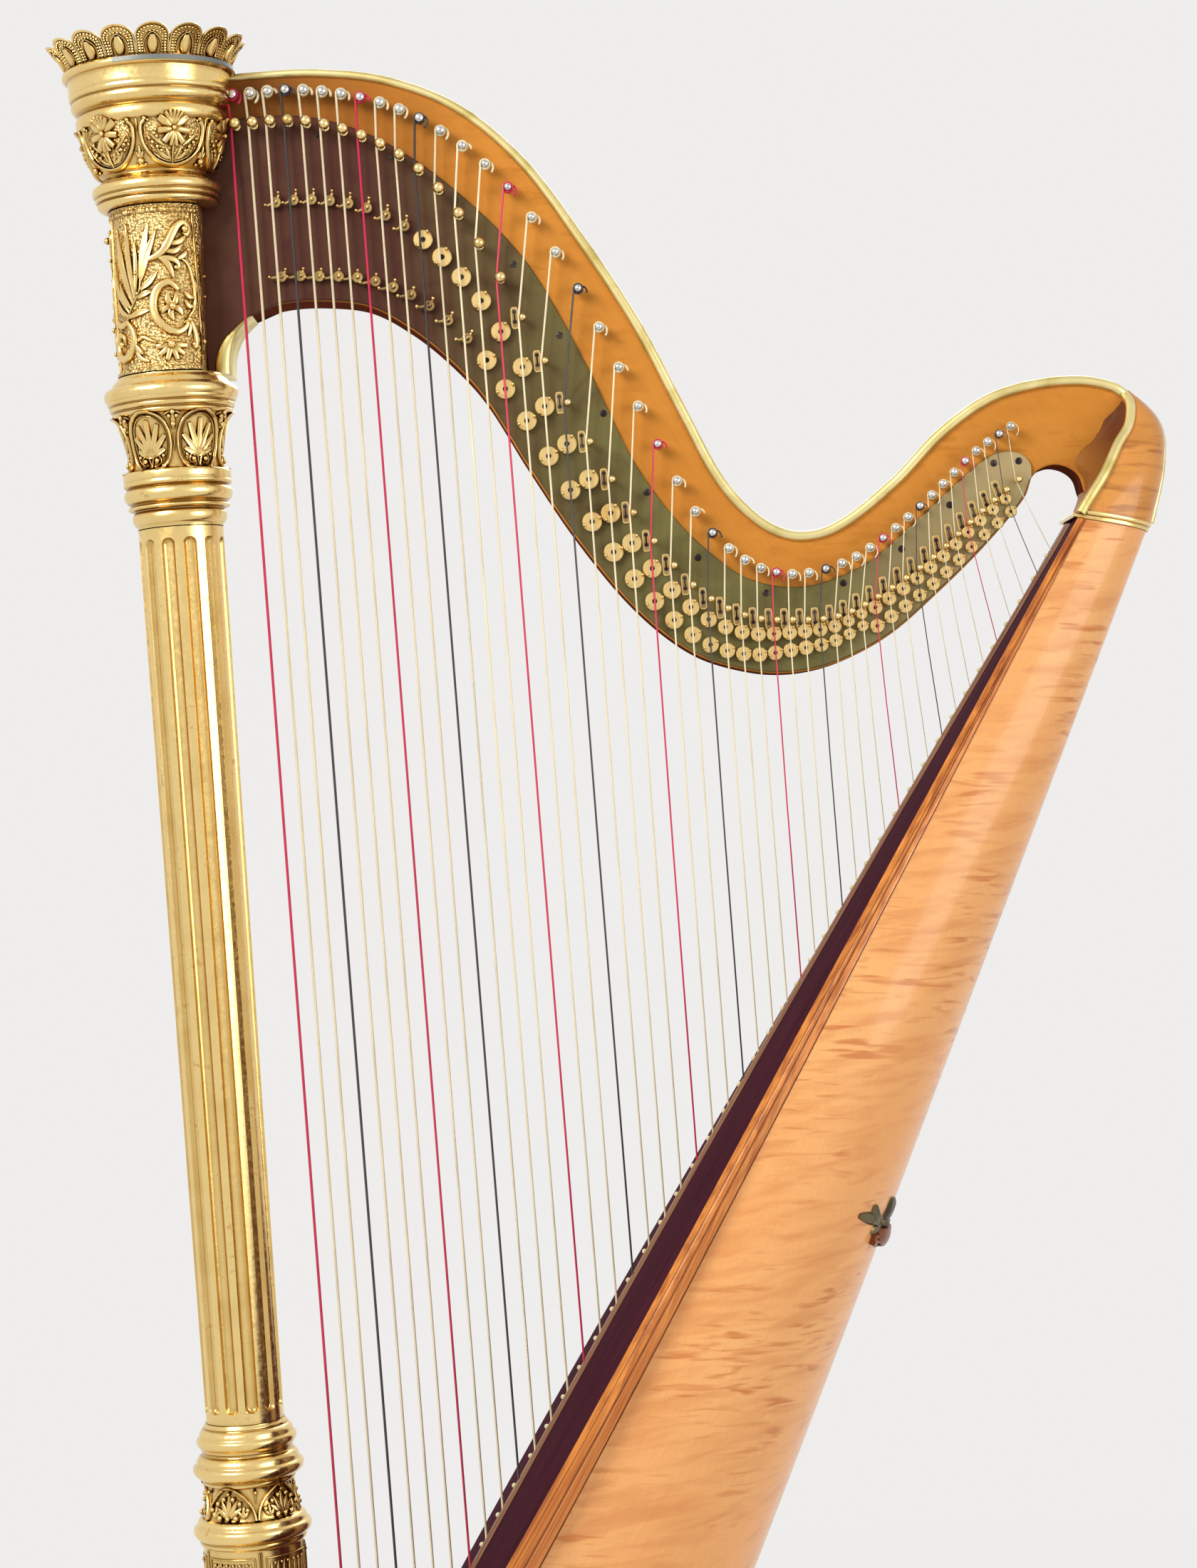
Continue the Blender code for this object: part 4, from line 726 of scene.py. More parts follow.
def crown_petals():
    """Round-topped leaves that lean outward, each with pearled edges round a smooth heart."""
    form = Form()
    pearls = Form()
    tall = CROWN_TOP - CROWN_FOOT
    half_foot = math.pi * CROWN_REFERENCE / CROWN_LEAVES - 0.15 * MM
    for leaf in range(CROWN_LEAVES):
        middle = 2 * math.pi * (leaf + 0.5) / CROWN_LEAVES

        def place(u, v, out, middle=middle):
            angle = middle + u / CROWN_REFERENCE
            size = 70.6 * MM + 17.6 * MM * max(0, v / tall) ** 1.6 + out
            return at(size * math.cos(angle), size * math.sin(angle), CROWN_FOOT + v)

        form.surface = place
        rings = []
        for share in (0.003 + 0.997 * part for part in shares(12)):
            rise = max(0, share - PETAL_WAIST) / (1 - PETAL_WAIST)
            half = max(half_foot * math.sqrt(1 - rise ** 2), 0.2 * MM)
            rings.append(slab(place, half, tall * share, 5, 0, -2.6 * MM))
        form.loft(rings)
        form.ribbon(petal_edge(half_foot - MM, tall - MM, 18, 0.06), lambda share: 1.1 * MM,
                    lambda share: 1.5 * MM)
        for trim, size, steps in ((3.3 * MM, 1.15 * MM, 12), (6.2 * MM, 0.95 * MM, 9)):
            for u, v in petal_edge(half_foot - trim, tall - trim, steps, 0.1):
                pearls.ball(place(u, v, size * 0.6), size, 6, 4)
        form.wand([(-8, 1), (-8.4, 6), (-7.4, 10.6), (-4.4, 14.2), (0, 16.6), (4.4, 14.2),
                   (7.4, 10.6), (8.4, 6), (8, 1)], 0.9, 1.9)
        form.stroke([(0, 0.8), (0, 7), (0, 14.6)], 5.8, 4.4, 8, 0.3, 0.4)
        form.pair([(11.4, 0.6), (11.8, 5), (11.4, 10)], 1.3, 1.5, 4, 0.2, 0.6)
        form.stroke([(16.1, 0.6), (16.1, 5), (16.1, 11)], 1.4, 2, 4, 0.1, 0.7)
    form.piece("crown_petals", "crown_leaves", sharp=45)
    pearls.piece("crown_pearls")
    rings = []
    for angle in (math.radians(-106 + 166 * share) for share in shares(60)):
        rings.append([at(size * MM * math.cos(angle), size * MM * math.sin(angle), z * MM)
                      for size, z in ((75.9, 1802.9), (76.9, 1802.9), (76.9, 1806.9),
                                      (75.9, 1806.9))])
    Form(rings).piece("crown_tape", finish=PEWTER, sharp=30)


def arch(half_line):
    """A frame from the pattern of its right half, which ends on the middle line."""
    return list(half_line) + [(-u, v) for u, v in reversed(half_line[:-1])]


def bowl_carving():
    """Six framed flowers round the bowl, with a small rosette under each joint."""
    form = Form()
    ground = Form()
    path = arch(((25.2, 1752.6), (28.4, 1749), (29.2, 1742), (28, 1734), (24.6, 1727),
                 (18.6, 1720.8), (10.2, 1716.8), (0, 1715.3)))
    widths = {1716.6: 9, 1721: 18.4, 1727: 24.2, 1734: 27.6, 1742: 28.8, 1749: 28.2, 1754.6: 25}
    for index in range(6):
        form.surface = round_surface(BOWL_PROFILE, 24.4 + 60 * index, 62 * MM)
        form.wand(path, 2.1, 3.5)
        form.wand([(u * 0.88, 1753.2 + (v - 1753.2) * 0.93) for u, v in path], 0.7, 1.6)
        ground.loft([slab(form.surface, blend(widths, v) * MM, v * MM, 8, 0.5 * MM, -0.6 * MM)
                     for v in (1716.6 + 38 * share for share in shares(12))])
        for v, angles, length, half, lift, fold, tip in (
                (1747.6, (90, 72, 108, 55, 125), 13, 2.5, 4.2, 0, 0.45),
                (1746.6, (32, 148), 15.2, 4.5, 4, 0.3, 0.45),
                (1744.6, (-6, 186), 14.2, 3.7, 4.2, 0, 0.7),
                (1743.6, (-48, 228), 13.6, 3.8, 4.2, 0, 0.7),
                (1743.6, (-78, 258), 13.4, 2.8, 4, 0, 0.6)):
            form.fan(0, v, angles, length, half, lift, fold, tip)
        form.stroke([(0, 1734), (-0.9, 1725), (0.2, 1716)], 1.3, 3, 6, 0.9, 0.7)
        form.pair([(9, 1731), (15, 1735), (22.6, 1742.4)], 2, 2.4, 6, 0.1, 0.3, 0.3)
        form.pair([(2, 1720), (9, 1722), (17, 1730)], 2.2, 2.2, 6, 0.1, 0.3, 0.3)
        form.pair([(1.4, 1719), (6, 1726), (8, 1731)], 1.6, 2, 6, 0.1, 0.5, 0.3)
        form.berries(-0.7, (0, 1745.4, 2.3))
        form.berries(-0.2, *mirrored((
            (15.4, 1738.6, 1.5), (19.4, 1734, 1.7), (15.4, 1730.2, 1.7), (22.2, 1737.2, 1.4),
            (11.6, 1727, 1.5), (18.8, 1729.4, 1.2))))
        form.berries(0.2, *mirrored(((25, 1754.2, 2),)), (28.4, 1716.6, 1.6),
                     (36.6, 1716.6, 1.6))
        form.berries(0, *mirrored(((22.4, 1752.8, 1.3),)))
        form.berries(0.4, (32.5, 1719.4, 3))
        form.fan(32.5, 1720.5, (90, 62, 118), (11, 7, 7), 2, 2.6)
        form.stroke([(32.5, 1755), (32.5, 1750), (32.5, 1744)], 1.3, 1.6, 4, 0.1, 0.8)
    form.piece("bowl_carving", sharp=55)
    ground.piece("bowl_ground", finish=GILT_GROUND, sharp=55)


LANCE_LEAVES = (
    (((-15.4, 1619), (-11, 1642), (-5, 1667)), 3.3), (((-15, 1617), (-7, 1640), (2, 1661)), 3.2),
    (((-24, 1598), (-35, 1630), (-41.4, 1666)), 3.5),
    (((-22, 1602), (-27, 1640), (-28, 1669)), 3.2),
    (((-25, 1600), (-32, 1625), (-36, 1647.5)), 2.8),
    (((-15.5, 1609), (-7, 1615), (0.7, 1624)), 2.9),
    (((-27, 1594), (-35, 1605), (-41, 1618)), 2.8),
    (((-19, 1602), (-12, 1605), (-4, 1607.3)), 2.5), (((-31, 1586), (-18, 1589), (-7, 1591)), 2.7),
    (((-30, 1587), (-39, 1593), (-46, 1604)), 2.5), (((-21, 1607), (-19, 1628), (-19, 1652)), 2.4),
    (((-29, 1590), (-44, 1614), (-49, 1640)), 2.6),
)
ACANTHUS = (
    (((-7, 1634.6), (3, 1638.5), (10, 1645), (16, 1655), (22, 1663.5), (28.4, 1666.4),
        (32.8, 1661), (30.4, 1655.6), (26.6, 1658)), 3.4, 3.8),
    (((5, 1640.5), (9, 1646.5), (10.8, 1652.5)), 2.4, 3),
    (((10.5, 1646), (14, 1653.5), (16.2, 1660.5)), 2.5, 3.2),
    (((9, 1641.5), (18, 1641), (25, 1646.6)), 2.5, 3),
    (((13.5, 1647.5), (23, 1649.5), (29.6, 1655.4)), 2.6, 3.2),
    (((2, 1637.5), (9, 1632), (13, 1625), (14.5, 1618.2)), 2.7, 3),
    (((4, 1636), (12, 1634.8), (18.6, 1632), (20.4, 1627.2), (17, 1625)), 2.5, 3),
    (((20, 1634), (27, 1638), (30.4, 1643)), 2.3, 2.8),
    (((21, 1636), (29, 1630), (33, 1618), (34.4, 1604), (33, 1592), (27, 1583),
        (21, 1577)), 1.3, 2.4), (((33.4, 1600), (28, 1600.6), (24, 1605.4)), 2.2, 3),
    (((32.6, 1593), (28, 1592), (23.8, 1597.4)), 2.2, 3),
    (((33, 1618), (36, 1611), (36, 1604)), 1.8, 2.2),
    (((18, 1607), (10.6, 1613.6), (1, 1609.6), (-4.4, 1598.6), (-3.2, 1584.2), (5.6, 1573.6),
        (15, 1569.8), (22.6, 1573.4), (26.4, 1581)), 3.5, 4.2),
    (((12, 1592), (8.4, 1598), (8.6, 1604.4)), 3, 3.6),
    (((12, 1592), (15.6, 1598.4), (16, 1603.6)), 2.6, 3.2),
    (((12, 1592), (17.6, 1590), (20.6, 1585)), 2.8, 3.2),
    (((12, 1592), (10, 1586), (12.4, 1580.4)), 2.8, 3.2),
    (((12, 1592), (6, 1591), (2.4, 1587)), 2.4, 3),
    (((-33, 1583), (-27.4, 1575), (-26, 1565), (-31, 1554.6), (-40, 1550.6), (-48.6, 1555.4),
        (-50.6, 1564.6), (-45.4, 1572.4), (-38.6, 1569.6), (-38.6, 1563)), 3.2, 3.8),
    (((-27, 1573), (-23, 1565), (-17, 1567.4), (-10, 1564), (-4, 1561.4)), 1.5, 2.2),
    (((-27, 1563), (-22, 1556.6), (-17.4, 1552.6)), 2.5, 2.6),
    (((-26, 1558), (-20, 1549), (-12, 1545.6)), 2, 2.2),
    (((-33, 1583), (-42, 1580), (-50.6, 1585.4)), 2.6, 2.6),
    (((27.6, 1581), (31, 1573), (33, 1564), (31.6, 1556.4), (28.2, 1558)), 2.3, 2.8),
    (((28, 1580), (27, 1572), (25, 1566)), 1.8, 2.2),
)


def drum_carving():
    """Lance leaves, an acanthus scroll and a half rosette, three times round the drum."""
    form = Form()
    for index in range(3):
        form.surface = round_surface(DRUM_PROFILE, 120 * index, 44.5 * MM, True)
        for points, half in LANCE_LEAVES:
            form.stroke(points, 1.25 * half, 3.8, 6, 0.06, 0.3, 0.55)
        form.wand([(-33, 1583), (-28, 1592), (-24, 1598), (-17.4, 1607.4), (-15.4, 1619)],
                  1.1, 2)
        for points, half, lift in ACANTHUS:
            form.stroke(points, 1.3 * half, 1.3 * lift, 6, 0.25, 0.35, 0.3, 2.2)
        form.berries(-0.4, (27.6, 1660, 3.2), (17.4, 1626.4, 1.9), (12, 1592, 3.2),
                     (26.4, 1580.4, 2.2), (-39.6, 1563.4, 2.6), (29, 1558.6, 2),
                     (-19.6, 1624, 1.6), (-19, 1606, 1.5), (30.6, 1642, 1.8),
                     (0.6, 1560.4, 1.9))
        form.fan(9, 1558.4, (182, 216, 250, 290, 324, 358), 13.4, 3.1, 3.2, 0.2, 0.6)
        form.berries(0, (9, 1559, 3.6))
        for u, half, lift in ((38.6, 0.8, 1.6), (40.8, 0.4, 0.9)):
            form.wand([(u, 1541.2), (u, 1610), (u, 1675.6)], half, lift, 6)
    form.piece("drum_carving", sharp=55)


def bell_carving():
    """Six open ovals with shells round the lower capital."""
    form = Form()
    path = arch(((6.2, 1451.6), (12.6, 1452.8), (17.6, 1458), (20.2, 1466), (20.8, 1474),
                 (19.4, 1484), (15.2, 1493), (8.4, 1498.4), (0, 1500.4)))
    curl = [(0, 1452.4), (1.6, 1458)] + [(6.2 + 4.2 * math.cos(a), 1458.4 + 4.2 * math.sin(a))
                                         for a in (2.6, 1.6, 0.6, -0.4, -1.4, -2.2)]
    for index in range(6):
        form.surface = round_surface(LOWER_CAPITAL_PROFILE, 36.6 + 60 * index, 46 * MM)
        form.wand(path, 1.7, 3.2)
        form.wand([(u * 0.83, 1475.5 + (v - 1475.5) * 0.87) for u, v in path], 0.6, 1.5)
        form.fan(0, 1461, (90, 71, 109, 50, 130, 26, 154),
                 (32.5, 30, 30, 24.5, 24.5, 16, 16), 3.5, 3.6, 0.6, 0.45, 0.15)
        form.pair(curl, 1.1, 2.4, 4, 0.8, 0.8, 0, 1.6)
        form.pair([(22.5, 1499), (20, 1498.6), (16.6, 1496.6)], 1.5, 2.2, 4, 0.3, 0.6)
        form.berries(-0.1, *mirrored(((6.2, 1458.2, 2.1),)))
        form.berries(0, *mirrored(((12.6, 1462.4, 1.5),)))
        form.stroke([(24.1, 1500), (24.1, 1493), (24.1, 1485.4)], 2.7, 3.2, 6, 0.55, 0.5)
        form.berries(-0.3, (21.2, 1495.6, 1.9), (27, 1495.6, 1.9), (24.1, 1488.6, 2.3),
                     (24.1, 1498.8, 2.2))
        form.stroke([(24.1, 1481), (24.1, 1474), (24.1, 1466)], 1.2, 1.1, 4, 0.1, 0.3)
    form.piece("bell_carving", sharp=55)


def foot_carving():
    """Five pointed arches with berries on the column's foot, and framed panels under them."""
    form = Form()
    path = arch(((23.4, 523.8), (22.4, 530), (19, 537.4), (13, 544.4), (6.6, 549.2),
                 (0, 552.2)))
    for index in range(5):
        middle = -22.8 + 72 * index
        form.surface = round_surface(FOOT_PROFILE, middle, 39 * MM)
        form.wand(path, 1.6, 3)
        form.fan(0, 526, (90, 62, 118, 36, 144), (19, 17, 17, 14, 14), 2.8, 3.2, 0.3, 0.3)
        for side in (1, -1):
            form.fan(side * 13.4, 526.4, (90, 50, 130), (9, 7, 7), 2.2, 2.8)
        form.berries(-0.2, (0, 547, 1.7), (0, 526, 2.2), *mirrored((
            (4.4, 542.4, 2.2), (10.4, 538.4, 2.2), (17, 532.6, 2.2), (7.2, 526.4, 2.5))))
        form.berries(-0.1, (24.5, 547, 1.8))
        form.stroke([(24.5, 545), (24.5, 541), (24.5, 536.6)], 0.9, 1.2, 4, 0.1, 0.6)
        form.surface = round_surface(FOOT_PROFILE, middle, 44.4 * MM)
        for u in (27, -27):
            form.wand([(u, 257), (u, 376), (u, 495)], 0.6, 1.2, 12)
        for low, high in ((262, 456), (462, 490)):
            corners = [(-22.8, low), (22.8, low), (22.8, high), (-22.8, high), (-22.8, low)]
            for first, second in zip(corners, corners[1:]):
                half_way = ((first[0] + second[0]) / 2, (first[1] + second[1]) / 2)
                form.wand([first, half_way, second], 0.7, 1.3, 6)
        form.wand([(0, 272), (0, 350), (0, 440)], 0.9, 1.6, 8)
        for step in range(7):
            u, v = -18.6 + 6.2 * step, 280 + 24 * step
            form.fan(u, 466, (90,), 20, 2, 1.8, 0.3, 0.2)
            form.pair([(0, v), (8, v + 7), (15, v + 19)], 2.6, 2.2, 6, 0.1, 0.2, 0.4)
            form.berries(0, (u, 465.6, 1.2), (0, v + 13, 1.7))
            if step < 6:
                form.berries(0, (u + 3.1, 485, 1.2))
        form.fan(0, 440, (90, 60, 120), (11, 9, 9), 2.2, 2, 0.3)
    form.piece("foot_carving", sharp=55)


def column():
    turned(FOOT_PROFILE).piece("column_plinth", "column_foot")
    fluted_shaft()
    turned(LOWER_CAPITAL_PROFILE).piece("capital_bell", "capital_lower")
    turned(DRUM_PROFILE, 144, pared=True).piece("capital_body", "capital_drum", GILT_GROUND)
    turned(BOWL_PROFILE).piece("capital_bowl", "crown_bowl")
    crown_petals()
    bowl_carving()
    drum_carving()
    bell_carving()
    foot_carving()


# The neck and its knee

NECK_FACE_Y = 14.3 * MM
NECK_BACK_Y = NECK_FACE_Y + 44 * MM
NECK_TOP = (
    (0.025, 1.8035), (0.0964, 1.805), (0.1491, 1.8035), (0.2115, 1.792), (0.2728, 1.7633),
    (0.3281, 1.7108), (0.375, 1.639), (0.4218, 1.5554), (0.4581, 1.4726), (0.4854, 1.4126),
    (0.5144, 1.3767), (0.5449, 1.3597), (0.581, 1.3634), (0.6349, 1.3988), (0.681, 1.4407),
    (0.726, 1.4686), (0.7699, 1.479), (0.8129, 1.4792), (0.8424, 1.471), (0.8526, 1.4627),
)
KNEE_FOLD = (
    (0.8526, 1.4627), (0.8543, 1.4497), (0.8492, 1.4307), (0.8373, 1.4143), (0.8213, 1.3875),
    (0.8059, 1.3671),
)
KNEE_BACK = (
    (0.855, 1.4658), (0.869, 1.4519), (0.8787, 1.4372), (0.8824, 1.4197), (0.8807, 1.4048),
    (0.8759, 1.3836),
)
KNEE_SEAT_X = (0.7963, 0.8606)
BAND_THICKNESS = 4.2 * MM
TOP_HALF_WIDTH = 43 * MM
DEEPEST_WEDGE = 34 * MM
PLATE_CORNER = (0.033, 1.5375)
KNEE_ARCH = (
    (0.811, 1.369), (0.8073, 1.3765), (0.8033, 1.391), (0.7942, 1.3992), (0.7815, 1.4026),
    (0.7684, 1.3989), (0.7615, 1.3929),
)
NECK_LOW = (
    (0.7615, 1.3929), (0.7537, 1.3751), (0.7164, 1.3359), (0.6705, 1.2962), (0.625, 1.2618),
    (0.5805, 1.2414), (0.5393, 1.2338), (0.4981, 1.2379), (0.4475, 1.2578), (0.3987, 1.3016),
    (0.3512, 1.3674), (0.3118, 1.4356), (0.277, 1.5002), (0.246, 1.5383), (0.2143, 1.567),
    (0.18, 1.588), (0.1362, 1.5958), (0.1023, 1.5955), (0.075, 1.5885), (0.06, 1.5731),
    (0.0535, 1.5567), (0.0496, 1.54), (0.025, 1.54),
)
PLATE_TOP = (
    (0.033, 1.759), (0.0938, 1.7643), (0.1417, 1.7602), (0.189, 1.743), (0.2374, 1.711),
    (0.2868, 1.6642), (0.3197, 1.6238), (0.3416, 1.5855), (0.3744, 1.5134), (0.4067, 1.4331),
    (0.4445, 1.3733), (0.4819, 1.3347), (0.502, 1.3206), (0.5322, 1.3112), (0.564, 1.3114),
    (0.6082, 1.3265), (0.6536, 1.3598), (0.6993, 1.3963), (0.7175, 1.41), (0.7309, 1.4166),
    (0.7439, 1.4174), (0.7544, 1.4139), (0.7613, 1.4048), (0.7615, 1.3929),
)
BRACKET_INNER = (
    (0.07, 1.5852), (0.06, 1.578), (0.05, 1.5685), (0.0438, 1.559), (0.0403, 1.549),
    (0.0397, 1.5375),
)
BRACKET_OUTER = (
    (0.0762, 1.5868), (0.068, 1.58), (0.0606, 1.5708), (0.0556, 1.559), (0.0536, 1.548),
    (0.0532, 1.5365),
)
PLATE_THICKNESS = 3 * MM
PLATE_FACE_Y = NECK_FACE_Y - 0.3 * MM - PLATE_THICKNESS
RIGHT_PLATE_Y = NECK_BACK_Y + 0.3 * MM
FINE = 5 * MM


def board(outline, front, back, under=None):
    """A flat piece sawn to an outline, between two depths. Its edge changes tone at under."""
    tones = [int(under is not None and step >= under) for step in range(len(outline))]
    return Form([[at(x, y, z) for x, z in outline] for y in (front, back)], tones)


def plank_outline():
    return (smooth_line(NECK_TOP, FINE) + inset_line(KNEE_FOLD[1:5], 5 * MM)
            + smooth_line(KNEE_ARCH, FINE / 2) + smooth_line(NECK_LOW, FINE)[1:])


def plate_outline():
    return (smooth_line(PLATE_TOP, FINE)
            + inset_line(smooth_line(NECK_LOW[:-5], FINE), -1.5 * MM)[1:]
            + [*BRACKET_INNER, PLATE_CORNER])


def knee_seat(x):
    """The height of the knee band's upper face at one distance from the column."""
    front, toward_back, _, _ = station(1)
    slope = toward_back.z / toward_back.x
    return front.z + slope * (x - front.x + COLUMN_X) + (BAND_THICKNESS + 0.6 * MM) / toward_back.x


def knee():
    """The rounded knee that widens from the neck down to the top of the body."""
    fold, back = (smooth_line(line + ((x, knee_seat(x)),), 0.5 * MM)[::-1]
                  for line, x in zip((KNEE_FOLD, KNEE_BACK), KNEE_SEAT_X))
    wedges = {1.3578: 0, 1.3715: 0.003, 1.3834: 0.01, 1.3962: 0.025, 1.406: DEEPEST_WEDGE,
              1.47: DEEPEST_WEDGE}
    rings = []
    ridge = []
    spine = []
    for share in shares(29):
        inner = Vector(fold[round(share * (len(fold) - 1))])
        outer = Vector(back[round(share * (len(back) - 1))])
        left = -TOP_HALF_WIDTH + (NECK_FACE_Y - 2 * MM + TOP_HALF_WIDTH) * share ** 1.6
        right = TOP_HALF_WIDTH + (NECK_BACK_Y - 0.5 * MM - TOP_HALF_WIDTH) * min(1, 1.8 * share)
        wedge = blend(wedges, inner.y)
        ease = wedge / DEEPEST_WEDGE
        across = (outer - inner).normalized()
        profile = [(-wedge - 0.004 * ease, NECK_FACE_Y + 0.006), (-wedge, NECK_FACE_Y + 0.0008)]
        for t in shares(6)[1:-1]:
            profile.append((-wedge * (1 - t), NECK_FACE_Y + (left - NECK_FACE_Y)
                            * (t ** 2.2 * ease + t * (1 - ease))))
        profile.append((0, left))
        middle = (left + right) / 2
        half = (right - left) / 2
        ridge.append(at(inner.x, left - 0.0008, inner.y) - Vector((across.x, 0, across.y)) * 0.002)
        spine.append(at(outer.x, middle, outer.y))
        for turn in shares(26)[1:-1]:
            along, aside = squared(math.pi * turn, 0.8)
            profile.append(((outer - inner).length * aside, middle - half * along))
        profile += [(0, right), (-0.004 * ease - wedge, right)]
        rings.append([at(p.x, y, p.y) for p, y in ((inner + across * u, y) for u, y in profile)])
    # The wedge and scoop steps, and the last one, take the hollow's painted shade.
    form = Form(rings, [1] * 7 + [0] * (len(rings[0]) - 8) + [1])
    form.piece("neck_knee", "neck", (KNEE_WOOD, HOLLOW_SHADE_WOOD), "neck_maple", 32)
    return ridge, spine


def neck():
    """The plank, its knee, the gilt bead along its top edge and the bracket on the drum."""
    top = smooth_line(NECK_TOP, FINE)
    # From the knee's arch on, the plank's edge takes the underside's painted shade.
    plank = board(plank_outline(), NECK_FACE_Y, NECK_BACK_Y, len(top) + 4)
    soften(plank.piece("neck_plank", "neck", (NECK_WOOD, SHADED_UNDER_WOOD), "neck_maple"), 2 * MM, 3)
    ridge, spine = knee()
    bead = Form()
    line = [at(x, NECK_FACE_Y - 0.3 * MM, z) for x, z in inset_line(top, -3.6 * MM)[6:]]
    bead.tube(line + ridge[::-1][2:], lambda share: (3.3 + 1.4 * min(1, 3 * share)) * MM, 14,
              flat=0.9, up=LEFT)
    bead.tube(spine[1:], lambda share: (3.4 - 2 * share) * MM, 10)
    bead.piece("neck_gilt_bead", finish=OLD_GILT)
    inner = smooth_line(BRACKET_INNER, 3 * MM)
    outer = smooth_line(BRACKET_OUTER, 3 * MM)
    far_y = NECK_BACK_Y + 4.4 * MM
    rings = []
    for index, (x, z) in enumerate(inner):
        far = outer[round(index * (len(outer) - 1) / (len(inner) - 1))]
        rings.append([at(x + (far[0] - x) * k, y, z + (far[1] - z) * k) for k, y in (
            (0, PLATE_FACE_Y + MM), (0.1, PLATE_FACE_Y - 1.4 * MM),
            (0.5, PLATE_FACE_Y - 2.6 * MM), (0.9, PLATE_FACE_Y - 1.4 * MM),
            (1, PLATE_FACE_Y + 0.6 * MM), (1, far_y), (0, far_y))])
    Form(rings).piece("neck_gilt_bracket", finish=OLD_GILT, sharp=50)


# The action: plates, discs, pins and strings

STRING_COUNT = 47
LAST_WOUND = 12
LAST_LARGE_NUT = 15
FIRST_DISC_STRING = 3
LAST_DISC_STRING = 46
DISC_STRINGS = range(FIRST_DISC_STRING, LAST_DISC_STRING + 1)
MOVING_OCTAVE = 15
NOTES = "cdefgab"
SEMITONE_SHARE = 1 - 2 ** (-1 / 12)
WHOLE_TONE_SHARE = 1 - 2 ** (-2 / 12)
NUT_KEYS = {
    1: (0.0702, 1.7564), 5: (0.1334, 1.7541), 9: (0.1982, 1.7293), 12: (0.247, 1.6861),
    15: (0.2965, 1.6029), 18: (0.3483, 1.488), 21: (0.4, 1.3858), 24: (0.4485, 1.3179),
    27: (0.4925, 1.2878), 30: (0.5348, 1.2805), 33: (0.5755, 1.2808), 36: (0.6125, 1.2955),
    40: (0.664, 1.327), 44: (0.7105, 1.365), 47: (0.745, 1.3905),
}
PIN_KEYS = {
    1: (0.0731, 1.7834), 5: (0.1366, 1.7831), 9: (0.2038, 1.7672), 12: (0.2558, 1.7382),
    15: (0.3124, 1.6834), 18: (0.3683, 1.5889), 21: (0.4143, 1.4806), 24: (0.4584, 1.3833),
    27: (0.4995, 1.337), 30: (0.5406, 1.3214), 33: (0.5855, 1.3276), 36: (0.6237, 1.3475),
    40: (0.6697, 1.3827), 44: (0.7121, 1.4191), 47: (0.7444, 1.4387),
}
FOOT_KEYS = {1: 0.093, 9: 0.335, 20: 0.663, 26: 0.8315, 33: 1.0067, 40: 1.1832, 47: 1.3497}
STRING_RADIUS_KEYS = {1: 1.25 * MM, 12: MM, 20: 0.85 * MM, 34: 0.55 * MM, 47: 0.35 * MM}
DISC_RADIUS_KEYS = {1: 7.3, 6: 7.3, 8: 7.8, 10: 8.5, 12: 8.8, 15: 8.8, 20: 8.8, 22: 8.5,
                    25: 7.3, 27: 6.8, 36: 6.5, 47: 5.2}
TREBLE_DISC_STEP_KEYS = {36: 16.6 * MM, 47: 11.6 * MM}
BASS_RING_SHIFT = {
    False: {3: (-2.9, 2.6), 8: (-2.2, 3), 10: (1.4, 2.8), 12: (4.1, 1.8), 14: (-0.3, 1.2)},
    True: {3: (-12, 2.8), 5: (-6.6, 4.6), 7: (-5.6, 6.3), 9: (-2.3, 4.8), 12: (0.9, 2.6),
           14: (-1.4, 1.9)},
}
LAST_BASS_FORK = {False: 10, True: 13}
DISC_FACE_Y = 4.6 * MM
DISC_BACK_Y = 7 * MM
PRONG_TIP_Y = -4.4 * MM
PRONG_SHARE = 0.86
NUT_RADIUS = 2.4 * MM
PIN_RADIUS = 3.2 * MM
PIN_END_Y = -3.2 * MM
UP_BOARD = Vector((math.sin(LEAN), 0, math.cos(LEAN)))
OUTWARD = Vector((-UP_BOARD.z, 0, UP_BOARD.x))
BELLY = 8 * MM
CHORD_FOOT = (0.0258, 0.2)


def chord_point(along):
    """A point along the straight line from the foot of the soundboard to its top."""
    return at(CHORD_FOOT[0], 0, CHORD_FOOT[1]) + UP_BOARD * along


def belly_at(along):
    """How far the soundboard has been drawn out by the strings."""
    share = min(max(along / FOOT_KEYS[STRING_COUNT], 0), 1)
    return BELLY * 4 * share * (1 - share)


def string_foot(number):
    along = blend(FOOT_KEYS, number)
    return chord_point(along) + OUTWARD * belly_at(along)


def key_point(keys, number):
    x, z = blend(keys, number)
    return at(x, 0, z)


def string_radius(number):
    return blend(STRING_RADIUS_KEYS, number)


def pointing(angle):
    """A direction in the plane of the strings: 0 is away from the column, a quarter turn up."""
    return Vector((math.cos(angle), 0, math.sin(angle)))


